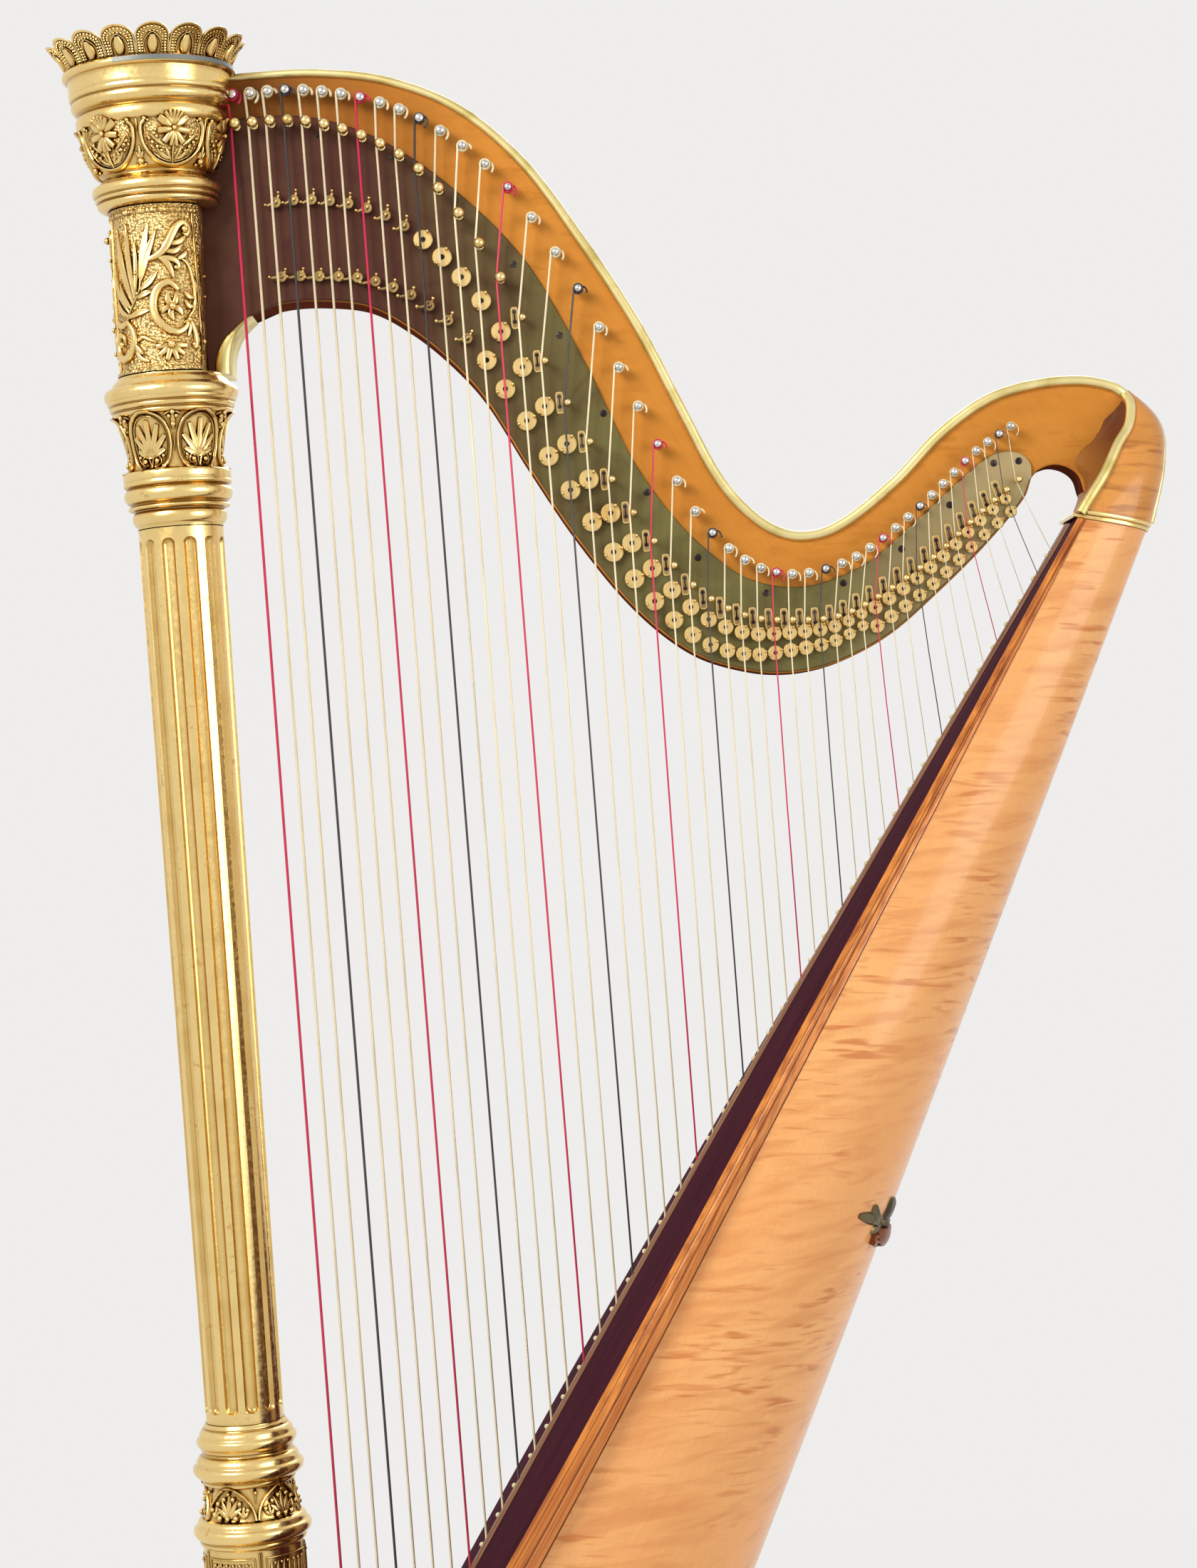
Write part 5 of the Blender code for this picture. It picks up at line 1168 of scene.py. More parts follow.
def disc_place(number, lower):
    """Centre, radius and prong direction of one disc, and the point its prongs straddle."""
    nut = key_point(NUT_KEYS, number)
    foot = string_foot(number)
    length = (nut - foot).length
    down = (foot - nut).normalized()
    aside = Vector((-down.z, 0, down.x))
    step = (WHOLE_TONE_SHARE - SEMITONE_SHARE) * length
    if number >= min(TREBLE_DISC_STEP_KEYS):
        step = max(step, blend(TREBLE_DISC_STEP_KEYS, number))
    radius = min(blend(DISC_RADIUS_KEYS, number) * MM, step / 2 - 0.3 * MM)
    first = max(SEMITONE_SHARE * length - PRONG_SHARE * radius, NUT_RADIUS + radius + 0.3 * MM)
    centre = nut + down * (first + (step if lower else 0))
    fork = number <= LAST_BASS_FORK[lower]
    tilt = 68 if lower else 50 if fork else 38
    straddled = centre
    if number < MOVING_OCTAVE:
        lowered, moved = blend(BASS_RING_SHIFT[lower], number)
        straddled = centre + down * ((lowered - 2) * MM)
        centre = centre + down * (lowered * MM) + aside * (moved * MM)
        if not fork:
            straddled = centre
    direction = pointing(math.atan2(down.z, down.x) + math.pi - math.radians(tilt))
    return centre, radius, direction, straddled


def disc(form, number, lower, spindle_end):
    """A disc with a screw in its hollow middle and two prongs; the bass ones are only forks."""
    centre, radius, direction, straddled = disc_place(number, lower)
    fork = number <= LAST_BASS_FORK[lower]
    rim = 4.9 * MM if fork else radius
    hole = 0.27 * radius
    form.spin(centre, [
        (hole, DISC_FACE_Y + MM), (hole, DISC_FACE_Y + 0.2 * MM),
        (hole + 0.25 * MM, DISC_FACE_Y), (rim - 0.6 * MM, DISC_FACE_Y),
        (rim, DISC_FACE_Y + 0.5 * MM), (rim, DISC_BACK_Y - 0.5 * MM),
        (rim - 0.5 * MM, DISC_BACK_Y), (hole, DISC_BACK_Y), (2 * MM, DISC_BACK_Y + 0.5 * MM),
        (2 * MM, spindle_end)], 28, [2 if fork else 0] * 9, 1)
    slot = pointing(0.7 * number) * (0.8 * hole)
    middle = centre + RIGHT * (DISC_FACE_Y + 0.7 * MM)
    form.tube([middle - slot, middle + slot], 0.3 * hole, 6, 1)
    thick = 0.13 * radius
    ball = min(1.7 * MM, 0.19 * radius)
    for sign in (-1, 1):
        root = straddled + direction * (sign * (8 * MM if fork else PRONG_SHARE * radius))
        if fork:
            form.tube([centre + RIGHT * (DISC_FACE_Y + 1.8 * MM),
                       root + RIGHT * (DISC_FACE_Y + 1.2 * MM)],
                      lambda share: (1.9 - 0.8 * share) * MM, 8, 2, up=LEFT)
        form.spin(root, [
            (thick * 0.9, DISC_FACE_Y + 1.8 * MM), (thick * 1.25, DISC_FACE_Y - 0.1 * MM),
            (thick, DISC_FACE_Y - MM), (thick * 0.8, 0), (thick * 0.9, -1.2 * MM),
            (ball * 0.85, -1.7 * MM), (ball, -2.5 * MM), (ball * 0.86, -3.4 * MM),
            (ball * 0.5, -4.1 * MM), (ball * 0.1, PRONG_TIP_Y)], 12)


def discs():
    fixed = Form()
    for number in DISC_STRINGS:
        for lower in (False, True):
            if not 0 <= number - MOVING_OCTAVE < len(NOTES):
                disc(fixed, number, lower, PLATE_FACE_Y + 0.5 * MM)
                continue
            node = ("lower" if lower else "upper") + "_disc_" + NOTES[number - MOVING_OCTAVE]
            turning = Form()
            disc(turning, number, lower, NECK_FACE_Y - 0.4 * MM)
            turning.piece(node + "_turned", node, (DISC, BLACKENED), "disc_brass", body=node)
    fixed.piece("discs_at_rest", "", (DISC, BLACKENED, FORK_BRASS), "disc_brass")


PLATE_SCREWS = (
    (0.1471, 1.7445), (0.2109, 1.7196), (0.2645, 1.6775), (0.3123, 1.6161), (0.3489, 1.5498),
    (0.3831, 1.4773), (0.4167, 1.4042), (0.4581, 1.3426), (0.5166, 1.3066), (0.5862, 1.3105),
    (0.6404, 1.3371), (0.6863, 1.3733), (0.7282, 1.4078), (0.7506, 1.4081),
)


def screw(form, x, z, face, side):
    """A slotted countersunk screw; side is -1 on the player's left, 1 on the right."""
    radius = 3.2 * MM
    run = pointing(chance.uniform(0, math.pi))
    cross = Vector((-run.z, 0, run.x))
    centre = at(x, face, z)
    for half in (-1, 1):
        rings = []
        for rise, size in ((-MM, radius), (0.35 * MM, radius), (0.8 * MM, 0.72 * radius)):
            rings.append([centre + RIGHT * (side * rise) + run * (math.cos(turn) * size)
                          + cross * (half * max(math.sin(turn) * size, 0.4 * MM))
                          for turn in (math.pi * share for share in shares(12))])
        form.loft(rings)
    form.spin(centre, [(radius * 0.9, face - side * 0.6 * MM),
                       (radius * 0.9, face + side * 0.12 * MM)], 16)


def plates():
    far_face = RIGHT_PLATE_Y + PLATE_THICKNESS
    for name, node, y in (("action_plate_front", "action_plate_left", PLATE_FACE_Y),
                          ("action_plate_back", "action_plate_right", RIGHT_PLATE_Y)):
        sheet = board(plate_outline(), y, y + PLATE_THICKNESS)
        soften(sheet.piece(name, node, PLATE, "plate_brass"), 0.8 * MM, 2)
    screws = Form()
    bearings = Form()
    for x, z in PLATE_SCREWS:
        screw(screws, x, z, PLATE_FACE_Y, -1)
        screw(screws, x, z, far_face, 1)
    for number in DISC_STRINGS:
        for lower in (False, True):
            bearings.spin(disc_place(number, lower)[0], [
                (radius * MM, far_face + rise * MM) for radius, rise in (
                    (2.6, -0.8), (2.6, 0.3), (2.1, 0.8), (1.2, 0.8), (1, 0.3))], 16)
    screws.piece("plate_screws", "", BLACKENED, "steel")
    bearings.piece("spindle_ends", "", STEEL, "steel")


def nut_slide(form, nut, tip):
    """A small slotted plate that carries a nut: its body, its slot as a flat black patch of
    painted shade, and its two screws.
    """
    side = Vector((-tip.z, 0, tip.x))
    middle = nut - tip * (1.5 * MM) - side * (3.6 * MM)
    face = PLATE_FACE_Y - 1.2 * MM
    # The last row is the slot: a flat black patch, painted shade where the opening would be.
    for wide, tall, rises, tone in (
            (3.7, 10, ((PLATE_FACE_Y + 0.3 * MM, 0), (face + 0.4 * MM, 0), (face, 0.4)), 0),
            (2.5, 8.7, ((face + 0.1 * MM, 0), (face - 0.04 * MM, 0)), 2),
            (0.75, 5.2, ((face + 0.1 * MM, 0), (face - 0.09 * MM, 0)), 1)):
        rings = []
        for y, shrink in rises:
            rings.append([middle + RIGHT * y + (side * (u * (wide - shrink))
                                                + tip * (v * (tall - shrink))) * MM
                          for u, v in soft_square(0.45)])
        form.loft(rings, (tone,))
    for shift in (-5.4 * MM, 3.6 * MM):
        form.spin(middle + tip * shift, [(1.9 * MM, face - 0.12 * MM),
                                         (1.9 * MM, face + 0.3 * MM)], 12, [1], 1)


def pins_and_nuts():
    pins = Form()
    nuts = Form()
    slides = Form()
    for number in range(1, STRING_COUNT + 1):
        pin = key_point(PIN_KEYS, number)
        dome = 4 * MM if number <= LAST_WOUND else 3.4 * MM
        pins.spin(pin, [
            (0.4 * MM, PIN_END_Y - 0.9 * MM), (dome * 0.6, PIN_END_Y - 0.5 * MM),
            (dome * 0.9, PIN_END_Y + 0.5 * MM), (dome * 0.92, PIN_END_Y + 1.4 * MM),
            (PIN_RADIUS, PIN_END_Y + 2.2 * MM), (PIN_RADIUS, NECK_FACE_Y + MM)], 18)
        pins.spin(pin, [(PIN_RADIUS, NECK_BACK_Y - MM),
                        (PIN_RADIUS, NECK_BACK_Y + 9 * MM)], 18)
        pins.spin(pin, [(3.1 * MM, NECK_BACK_Y + 9 * MM), (3.1 * MM, NECK_BACK_Y + 20.8 * MM),
                        (2.4 * MM, NECK_BACK_Y + 22 * MM)], 4)
        nut = key_point(NUT_KEYS, number)
        place = nut + AWAY * (NUT_RADIUS + string_radius(number) + 0.3 * MM)
        if number <= LAST_LARGE_NUT:
            nuts.spin(place, [(3.6 * MM, PLATE_FACE_Y + 0.4 * MM), (3.6 * MM, 9.6 * MM),
                              (NUT_RADIUS, 9.2 * MM), (NUT_RADIUS, -1.6 * MM)], 16)
            nuts.ball(place + LEFT * (6.4 * MM), 5.1 * MM, 24, 16, LEFT)
            continue
        nuts.spin(place, [(NUT_RADIUS, PLATE_FACE_Y), (NUT_RADIUS * 0.9, -0.6 * MM)], 14)
        nuts.ball(place + LEFT * (2.6 * MM), 3.3 * MM, 18, 12, LEFT)
        if number <= LAST_DISC_STRING:
            nut_slide(slides, nut, (string_foot(number) - nut).normalized())
    pins.piece("tuning_pins", "neck", STEEL, "steel")
    nuts.piece("nut_pins", "action_plate_left", BALL_BRASS, "disc_brass")
    slides.piece("nut_plates", "", (DISC, BLACKENED, FORK_BRASS), "disc_brass")


def strings():
    """Each string: out of the soundboard, past its nut, and wound on its tuning pin."""
    kinds = {"wound": WOUND, "wound_red": WOUND_RED, "wound_black": WOUND_BLACK,
             "cream": GUT_CREAM, "red": GUT_RED, "black": GUT_BLACK}
    forms = {kind: Form() for kind in kinds}
    pegs = Form()
    for number in range(1, STRING_COUNT + 1):
        wound = number <= LAST_WOUND
        radius = string_radius(number)
        colour = {1: "red", 4: "black"}.get((number - 1) % 7 + 1, "")
        kind = "_".join(part for part in ("wound" if wound else "", colour) if part) or "cream"
        foot = string_foot(number)
        nut = key_point(NUT_KEYS, number)
        pin = key_point(PIN_KEYS, number)
        hold = PIN_RADIUS + radius * 0.95
        path = [foot - OUTWARD * (1.2 * MM), foot.lerp(nut, 0.5), nut,
                pin + Vector((-hold, 0, -2.5 * MM))]
        turns = 2.4 if wound else 3.4
        deep = 2.1 * radius * turns
        for share in shares(round(turns * 14)):
            path.append(pin + pointing(math.pi - 2 * math.pi * turns * share) * hold
                        + RIGHT * (deep * share))
        tail = chance.uniform(0.5, 1.1)
        for share in shares(8)[1:]:
            path.append(pin + pointing(math.pi - 2 * math.pi * turns - 1.7 * tail * share)
                        * (hold + (3 + 3 * tail) * MM * share)
                        + RIGHT * (deep - (deep + 2 * MM) * share))
        forms[kind].tube(path, radius, up=LEFT)
        pegs.ball(foot - UP_BOARD * (5.2 * MM) + OUTWARD * (0.9 * MM), 2.3 * MM, 10, 7,
                  OUTWARD, 0.9)
    for kind, finish in kinds.items():
        forms[kind].piece("strings_" + kind, "strings_and_rib", finish, "strings_and_rib")
    pegs.piece("string_pegs", "", GUT_CREAM, "strings_and_rib")


# The body

BASE_TOP = 0.236
BODY_TOP = 1.3505
TOP_TILT = math.radians(12.5)
BACK_DEPTH_AT_FOOT = 0.278
BACK_TAPER = 0.1512
RIB_THICKNESS = 3 * MM
SOUNDBOARD_THICKNESS = 5 * MM
SHELL_WALL = 6 * MM
MOULDING_WIDTH = 13 * MM
MOULDING_FOOT_DEPTH = 36 * MM
MOULDING_TOP_DEPTH = 9.7 * MM
BOARD_HALF_WIDTHS = {
    0: 0.15, 0.1: 0.178, 0.2: 0.2, 0.3: 0.205, 0.4: 0.192,
    0.52: 0.16, 0.65: 0.122, 0.8: 0.086, 0.92: 0.056, 1: TOP_HALF_WIDTH,
}
WING_OVERHANG = 20 * MM
WING_END = 0.62
BAND_EDGE_PULL = 1 - 0.8 * MM / TOP_HALF_WIDTH
SOUND_HOLES = 5
FIRST_HOLE = 0.13
HOLE_SPACING = 0.165
HOLE_HALF_LENGTH = 52 * MM
HOLE_HALF_WIDTH = 36 * MM
HOLE_SHRINK = 5 * MM
FAR_LEFT = -0.6
GAP = 0.3 * MM
BOARD_BACK = RIB_THICKNESS + SOUNDBOARD_THICKNESS + GAP


def station(share):
    """A section of the body: front point, way to the back, depth factor, place up the board."""
    low = BASE_TOP + GAP
    z = low + (BODY_TOP - low) * share
    front = at(CHORD_FOOT[0] + (z - CHORD_FOOT[1]) * math.tan(LEAN), 0, z)
    tilt = TOP_TILT * share
    toward_back = Vector((math.cos(tilt), 0, -math.sin(tilt)))
    along = (front - chord_point(0)).dot(UP_BOARD)
    return front, toward_back, math.cos(LEAN - tilt), along


def body_point(share, depth, y):
    front, toward_back, factor, _ = station(share)
    return front + toward_back * (depth / factor) + RIGHT * y


def board_half_width(share):
    return blend(BOARD_HALF_WIDTHS, share)


def shell_half_width(share):
    """The shell is narrower than the board, most of all in its lower half."""
    swell = math.sin(math.pi * min(1, share / WING_END))
    return board_half_width(share) - 1.5 * MM - WING_OVERHANG * swell


def back_depth(share):
    _, toward_back, factor, along = station(share)
    across = toward_back.dot(UP_BOARD) / factor
    return (BACK_DEPTH_AT_FOOT - BACK_TAPER * along) / (1 + BACK_TAPER * across)


def moulding_depth(share):
    return MOULDING_FOOT_DEPTH + (MOULDING_TOP_DEPTH - MOULDING_FOOT_DEPTH) * share


def board_front(share, y):
    _, _, _, along = station(share)
    return RIB_THICKNESS - belly_at(along) * (1 - (y / board_half_width(share)) ** 2)


def shell_curve(share, inset, steps=40):
    """The bent back from left to right, as depths and widths; inset moves it inward."""
    start = moulding_depth(share) + GAP
    depth = back_depth(share) - start - inset
    half = shell_half_width(share) - inset
    bends = [squared(math.pi * share, 0.87) for share in shares(steps)]
    return [(start + depth * deep, -half * aside) for aside, deep in bends]


def shell_ring(share):
    """One level of the bent shell: round the outside, then back round the inside."""
    tuck = min(shell_half_width(share), board_half_width(share)) - MOULDING_WIDTH - GAP
    seat = moulding_depth(share)
    outer = [(BOARD_BACK, -tuck), (seat + GAP, -tuck), *shell_curve(share, 0),
             (seat + GAP, tuck), (BOARD_BACK, tuck)]
    inside = tuck - SHELL_WALL
    bend = [(depth + SHELL_WALL * 0.5, y)
            for depth, y in reversed(shell_curve(share, SHELL_WALL))][1:-1]
    inner = [(BOARD_BACK, inside), (seat + SHELL_WALL, inside), *bend,
             (seat + SHELL_WALL, -inside), (BOARD_BACK, -inside)]
    return [body_point(share, depth, y) for depth, y in outer + inner]


def cut(piece, form, name):
    """Take the closed form away from the piece."""
    mesh = outward_mesh(name, form)
    cutter = shown(name, mesh)
    taken = piece.modifiers.new("opening", "BOOLEAN")
    taken.object = cutter
    taken.operation = "DIFFERENCE"
    taken.solver = "EXACT"
    bpy.context.view_layer.update()
    graph = bpy.context.evaluated_depsgraph_get()
    piece_mesh = bpy.data.meshes.new_from_object(piece.evaluated_get(graph))
    piece.modifiers.clear()
    piece.data = piece_mesh
    bpy.data.objects.remove(cutter)
    bpy.data.meshes.remove(mesh)
    smooth_shading(piece_mesh, 35)


def shell():
    form = Form([shell_ring(share) for share in shares(44)])
    made = form.piece("shell_bent", "body_shell", SHELL_WOOD, "flamed_maple", 35)
    holes = Form()
    for index in range(SOUND_HOLES):
        share = FIRST_HOLE + HOLE_SPACING * index
        centre, above = (body_point(place, back_depth(place), 0)
                         for place in (share, share + 0.05))
        up = (above - centre).normalized()
        out = Vector((up.z, 0, -up.x))
        shrink = HOLE_SHRINK * index
        holes.loft([ring(centre + out * reach, up, RIGHT, HOLE_HALF_LENGTH - shrink, 48,
                         HOLE_HALF_WIDTH - shrink) for reach in (-0.035, 0.03)])
    cut(made, holes, "sound_hole_cutter")
    leaf_ornament(BVHTree.FromPolygons(form.points, form.faces))


def leaf_ornament(skin):
    """The cast flower on the shell's left side: two curled leaves, a calyx and a drop."""
    low, high = (Vector(corner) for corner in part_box("leaf_mount"))
    centre = (low + high) / 2
    form = Form()

    def surface(u, v, out):
        start = Vector((centre.x + u, FAR_LEFT, centre.z + v))
        hit, normal, _, _ = skin.ray_cast(start, RIGHT)
        if hit is None:
            hit, normal, _, _ = skin.find_nearest(Vector((start.x, low.y, start.z)))
        return hit + (-normal if normal.y > 0 else normal) * out

    form.surface = surface
    for points, half, lift, fold in (
            (((-1, -2), (-9, 4), (-16, 8), (-23, 11)), 5.6, 4.6, 0.5),
            (((-1, 0), (-7, 7), (-7, 17)), 4.6, 5, 0.5),
            (((1, -1), (9, 7), (11, 18)), 5.4, 5, 0.5),
            (((2, -2), (9, 3), (14.6, 11)), 4.2, 4, 0.5),
            (((0, -3), (-6, -4), (-12, -9)), 3, 4.4, 0.3),
            (((0, -3), (5, -4), (9.4, -10)), 3, 4.4, 0.3),
            (((0, 2), (0, -3), (0, -7)), 4.4, 6, 0)):
        form.stroke(points, half, lift, 6, 0.25, 0.4, fold, 1.6)
    form.stroke(((0, -5), (0, -15), (-0.6, -25)), 6.6, 8, 8, 0.45, 0.75, 0, 1.6, 1)
    form.piece("leaf_ornament", "leaf_mount", (BRONZE, EDGE_DARK), "dark_bronze", 50)


def soundboard():
    rings = []
    for share in shares(48):
        marks = [board_half_width(share) * mark / 12 for mark in range(-12, 13)]
        rings.append([body_point(share, board_front(share, y), y) for y in marks]
                     + [body_point(share, board_front(share, y) + SOUNDBOARD_THICKNESS, y)
                        for y in reversed(marks)])
    edge_tones = ([0] * 24 + [1]) * 2
    form = Form(rings, edge_tones)
    # The soundboard's near-black spruce is partly painted shade.
    form.piece("soundboard_spruce", "soundboard", (SHADED_SPRUCE, EDGE_WOOD), "soundboard_spruce", 35)
    rings = []
    for share in (0.002 + 0.996 * part for part in shares(48)):
        half = (12 - 5 * share) * MM
        top = -belly_at(station(share)[3])
        back = board_front(share, half) - 2 * GAP + 0.5 * MM
        rings.append([body_point(share, depth, half * y) for depth, y in (
            (back, -1), (back, 1), (top + MM, 0.82), (top, 0.6), (top, -0.6),
            (top + MM, -0.82))])
    Form(rings).piece("rib_strip", "strings_and_rib", RIB_WOOD, "strings_and_rib", 25)


def mouldings():
    """The edge strips: an orange bead, a dark line, a salmon hollow and a seam."""
    tones = [0] * 8 + [1, 1] + [2] * 5 + [1, 1, 1, 0]
    bends = [(k, math.sin(math.pi * k)) for k in shares(5)]
    for side, sign in (("left", -1), ("right", 1)):
        rings = []
        for share in shares(48):
            half = board_half_width(share)
            wall = shell_half_width(share)
            inner = min(wall, half) - MOULDING_WIDTH
            deep = moulding_depth(share)
            outer = half - 0.9 * MM
            section = [(inner, 0), (half - 0.6 * MM, 0)]
            section += [(half - 0.7 * MM + 0.7 * MM * bend, 0.02 + 0.3 * k) for k, bend in bends]
            section += [(half - MM, 0.34), (half - MM, 0.42)]
            section += [(outer + (wall + 1.2 * MM - outer) * (0.1 + 0.9 * k) - 0.5 * MM * bend,
                         0.44 + 0.5 * k) for k, bend in bends]
            section += [(wall + 0.6 * MM, 0.955), (wall + 0.6 * MM, 1), (inner, 1)]
            rings.append([body_point(share, BOARD_BACK + (deep - BOARD_BACK) * depth, sign * y)
                          for y, depth in section])
        Form(rings, tones).piece("moulding_" + side, "side_moulding_" + side,
                                 (EDGE_WOOD, EDGE_DARK, EDGE_PALE), "edge_maple", 30)


def knee_band():
    """The gilt band between the knee and the body, and the bead that runs round it."""
    toward_back = station(1)[1]
    normal = Vector((-toward_back.z, 0, toward_back.x))
    side = shell_half_width(1) + 2 * MM
    edge = [(-0.001, -side), *shell_curve(1, -0.002, 48), (-0.001, side)]
    rings = []
    for rise, pull in ((GAP, BAND_EDGE_PULL), (GAP + 0.7 * MM, 1),
                       (BAND_THICKNESS - 0.7 * MM, 1), (GAP + BAND_THICKNESS, BAND_EDGE_PULL)):
        rings.append([body_point(1, 0.05 + (depth - 0.05) * pull, y * pull) + normal * rise
                      for depth, y in edge])
    form = Form(rings)
    form.tube([body_point(1, depth, y) + normal * (BAND_THICKNESS + 1.9 * MM)
               for depth, y in shell_curve(1, -1.6 * MM, 48)], 2.3 * MM, 10)
    form.piece("knee_gilt_band", "knee_band", sharp=30)


# The base, its feet and the pedals

BASE_OUTLINE = (
    (-0.078, 0), (-0.07, 0.036), (-0.046, 0.066), (-0.01, 0.085), (0.012, 0.115), (0.022, 0.15),
    (0.05, 0.176), (0.11, 0.19), (0.21, 0.195), (0.33, 0.193), (0.415, 0.186), (0.446, 0.168),
    (0.455, 0.145), (0.455, 0),
)
BASE_BOTTOM = 0.036
BASE_WALL = 16 * MM
PEDALS = "dcbefga"
PEDAL_SPACING = 44 * MM
PEDAL_GROUP_GAP = 16 * MM
AXLE_X = 0.1
AXLE_Z = 0.125
FOOT_BUN = ((21, 0.3), (24, 0.3), (29, 6), (30, 14), (28, 21), (23, 26), (24.5, 29), (27.5, 31),
            (27.6, 35.7), (4, 35.7))


def base_line(grow):
    half = inset_line(smooth_line(BASE_OUTLINE[:-1], 8 * MM), grow)
    half[0] = (BASE_OUTLINE[0][0] - grow, 0)
    half.append((BASE_OUTLINE[-1][0] + grow, 0))
    return half + [(x, -y) for x, y in reversed(half[1:-1])]


def block(low_x, high_x, low_y, high_y, heights):
    """The rings of a box that stands upright."""
    return [[at(x, y, z) for x, y in ((low_x, low_y), (high_x, low_y), (high_x, high_y),
                                      (low_x, high_y))] for z in heights]


def base():
    rings = []
    for grow, z in ((-BASE_WALL, BASE_TOP - 15 * MM), (-BASE_WALL, BASE_BOTTOM),
                    *((grow * MM, BASE_BOTTOM + rise * MM) for grow, rise in (
                        (3, 0), (4, 1.5), (4, 20), (3, 24), (0.5, 26), (0, 31))),
                    *((grow * MM, BASE_TOP - drop * MM) for grow, drop in (
                        (0, 21), (1.5, 18), (1.5, 15), (3.4, 12), (4, 8), (3.4, 3.5),
                        (1.5, 0.8), (0.4, 0)))):
        rings.append([at(x, y, z) for x, y in base_line(grow)])
    made = Form(rings).piece("base_box", "base_frame", sharp=28)
    slots = Form()
    for _, _, y in pedal_places():
        slots.loft(block(0.433, 0.467, y - 0.0065, y + 0.0065, (0.08, 0.161)))
    slots.loft(block(-0.005, 0.005, -0.0279, 0.0279, (BASE_TOP - 0.019, BASE_TOP + 0.004)))
    cut(made, slots, "pedal_slot_cutter")


def feet():
    for end, x, y in (("front", 0.045, 0.14), ("rear", 0.395, 0.15)):
        for side, sign in (("left", -1), ("right", 1)):
            node = "foot_" + end + "_" + side
            turned(FOOT_BUN, 48, x, sign * y, 2).piece(node + "_bun", node, GILT_MATT)


def pedal_places():
    """Each pedal's Y at its rod, on the axle and in its slot."""
    first = -(PEDAL_SPACING * (len(PEDALS) - 1) + PEDAL_GROUP_GAP) / 2
    places = []
    for index in range(len(PEDALS)):
        slot = first + PEDAL_SPACING * index + (PEDAL_GROUP_GAP if index >= 3 else 0)
        centred = index - (len(PEDALS) - 1) / 2
        places.append((centred * 8 * MM, centred * 18 * MM, slot))
    return places


def pedals():
    for note, (rod_y, axle_y, slot_y) in zip(PEDALS, pedal_places()):
        stations = (
            (-0.0048, rod_y, AXLE_Z, 0.0028, 0.0045), (0.018, rod_y, AXLE_Z, 0.0028, 0.0045),
            (AXLE_X, axle_y, AXLE_Z, 0.004, 0.006), (0.33, slot_y, 0.145, 0.0045, 0.006),
            (0.478, slot_y, 0.15, 0.0045, 0.0058), (0.498, slot_y, 0.149, 0.0065, 0.005),
            (0.508, slot_y, 0.146, 0.015, 0.0042), (0.54, slot_y, 0.141, 0.0175, 0.0042),
            (0.559, slot_y, 0.137, 0.014, 0.004), (0.564, slot_y, 0.1358, 0.009, 0.0034),
        )
        sections = []
        for before, after in zip(stations, stations[1:]):
            steps = 6 if after[0] > 0.49 else 4
            for t in shares(steps)[:-1]:
                smooth = t if before[0] < 0.4 else t * t * (3 - 2 * t)
                sections.append([before[0] + (after[0] - before[0]) * t]
                                + [b + (a - b) * smooth for a, b in zip(after[1:], before[1:])])
        sections.append(stations[-1])
        lever = Form([[at(x, y + wide * u, z + tall * v) for u, v in soft_square(0.4)]
                      for x, y, z, wide, tall in sections])
        node = "pedal_" + note
        lever.piece(node + "_lever", node, PEDAL_BRASS, "pedal_brass", body=node)
        boss = Form()
        boss.spin(at(AXLE_X, 0, AXLE_Z), [(radius * MM, axle_y + shift * MM) for radius, shift in (
            (4.6, -5.8), (9, -5.8), (9.5, -5.2), (9.5, 5.2), (9, 5.8), (4.6, 5.8))], 32)
        boss.piece(node + "_boss", "", PEDAL_BRASS, "pedal_brass", body=node)


def carried_over():
    """CAD pieces whose own shape is right: each gets its finish."""
    finishes = {node: INNER_WOOD for node in (
        "base_cover", "bottom_block", "top_block", "shell_brace_1", "shell_brace_2",
        "shell_brace_3")}
    finishes["pedal_axle"] = STEEL
    for note in PEDALS:
        finishes["rod_" + note] = STEEL
    for node, finish in finishes.items():
        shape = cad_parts[node]
        shape.data.materials.clear()
        shape.data.materials.append(finish)


# Floor, light and camera

BACKDROP = (0.86, 0.85, 0.84)
FLOOR_RADIUS = 7
FLOOR_SIDES = 96
LENS = 74.88
SENSOR = 36
CAMERA_ROLL = math.radians(4.13)
CAMERA_DISTANCE = 2.906
CAMERA_TARGET = at(0.3548, 0, 1.147)


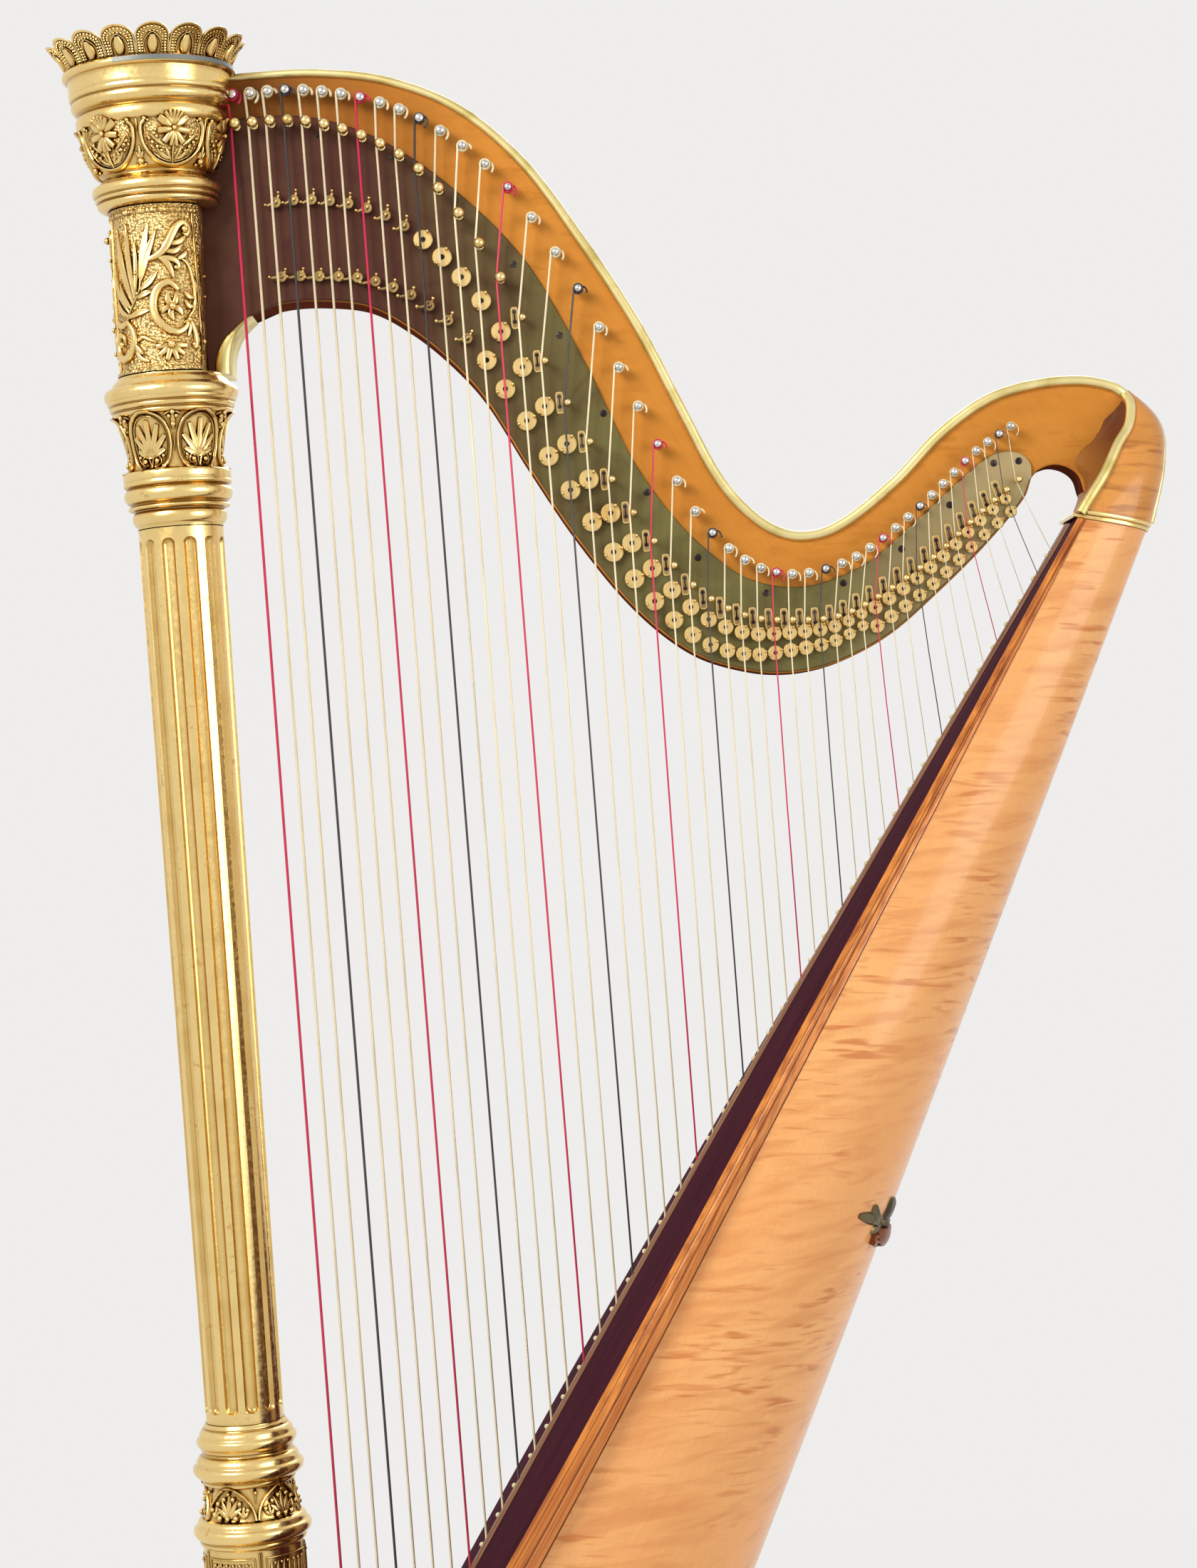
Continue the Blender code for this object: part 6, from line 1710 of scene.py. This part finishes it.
def studio():
    """A pale floor that fades into an even backdrop, under a soft sky."""
    mesh = bpy.data.meshes.new("floor")
    mesh.from_pydata(ring(UP * -MM, AWAY, RIGHT, FLOOR_RADIUS, FLOOR_SIDES), [],
                     [range(FLOOR_SIDES)])
    shown("floor", mesh)
    paint = Finish("pale_floor")
    paint.set("Roughness", 0.75)
    paint.set("Base Color", paint.mix(paint.noise(6, 3), (0.78, 0.77, 0.75), (0.82, 0.81, 0.79)))
    away = paint.node("ShaderNodeVectorMath", {"operation": "LENGTH"}, {0: paint.place()}, 1)
    share = paint.looked_at() * (paint.mask(away, 0.9, 2.1) * 0.5 + 0.5)
    glow = paint.node("ShaderNodeEmission", {}, {"Color": BACKDROP})
    paint.end("Material Output", share, Field(paint, paint.shader.outputs[0]), glow)
    mesh.materials.append(paint.material)
    world = bpy.data.worlds.new("studio")
    world.use_nodes = True
    bpy.context.scene.world = world
    sky = Nodes(world.node_tree)
    soft, pale = (sky.node("ShaderNodeBackground", {}, {"Color": colour, "Strength": strength})
                  for colour, strength in (((0.95, 0.97, 1), 0.35), (BACKDROP, 1)))
    sky.end("World Output", sky.looked_at(), soft, pale)


def lamp(name, place, height, size, power):
    """A round lamp that looks at the column's line at a height."""
    light = bpy.data.lights.new(name, "AREA")
    light.shape = "DISK"
    light.size = size
    light.energy = power
    light.color = (1, 0.97, 0.93)
    made = shown(name, light)
    made.location = place
    made.rotation_euler = (UP * height - Vector(place)).to_track_quat("-Z", "Y").to_euler()


def camera():
    """The photograph's place: a level line of sight, the camera rolled about it."""
    lens = bpy.data.cameras.new("camera")
    lens.lens = LENS
    lens.sensor_width = SENSOR
    lens.sensor_fit = "AUTO"
    made = shown("camera", lens)
    cosine, sine = math.cos(CAMERA_ROLL), math.sin(CAMERA_ROLL)
    turn = Matrix((AWAY * cosine - UP * sine, AWAY * sine + UP * cosine, LEFT))
    made.matrix_world = Matrix.Translation(
        CAMERA_TARGET + LEFT * CAMERA_DISTANCE) @ turn.transposed().to_4x4()
    bpy.context.scene.camera = made


column()
neck()
plates()
discs()
pins_and_nuts()
strings()
shell()
soundboard()
mouldings()
knee_band()
base()
feet()
pedals()
carried_over()
studio()
lamp("key", (-1.9, -2.3, 3), 1.1, 1.6, 95)
lamp("fill", (2.6, -2.2, 1.6), 1, 2.2, 45)
lamp("rim", (0.4, 2.6, 3), 1, 2, 60)
camera()
bpy.context.scene.view_settings.view_transform = "Standard"
bpy.context.view_layer.update()
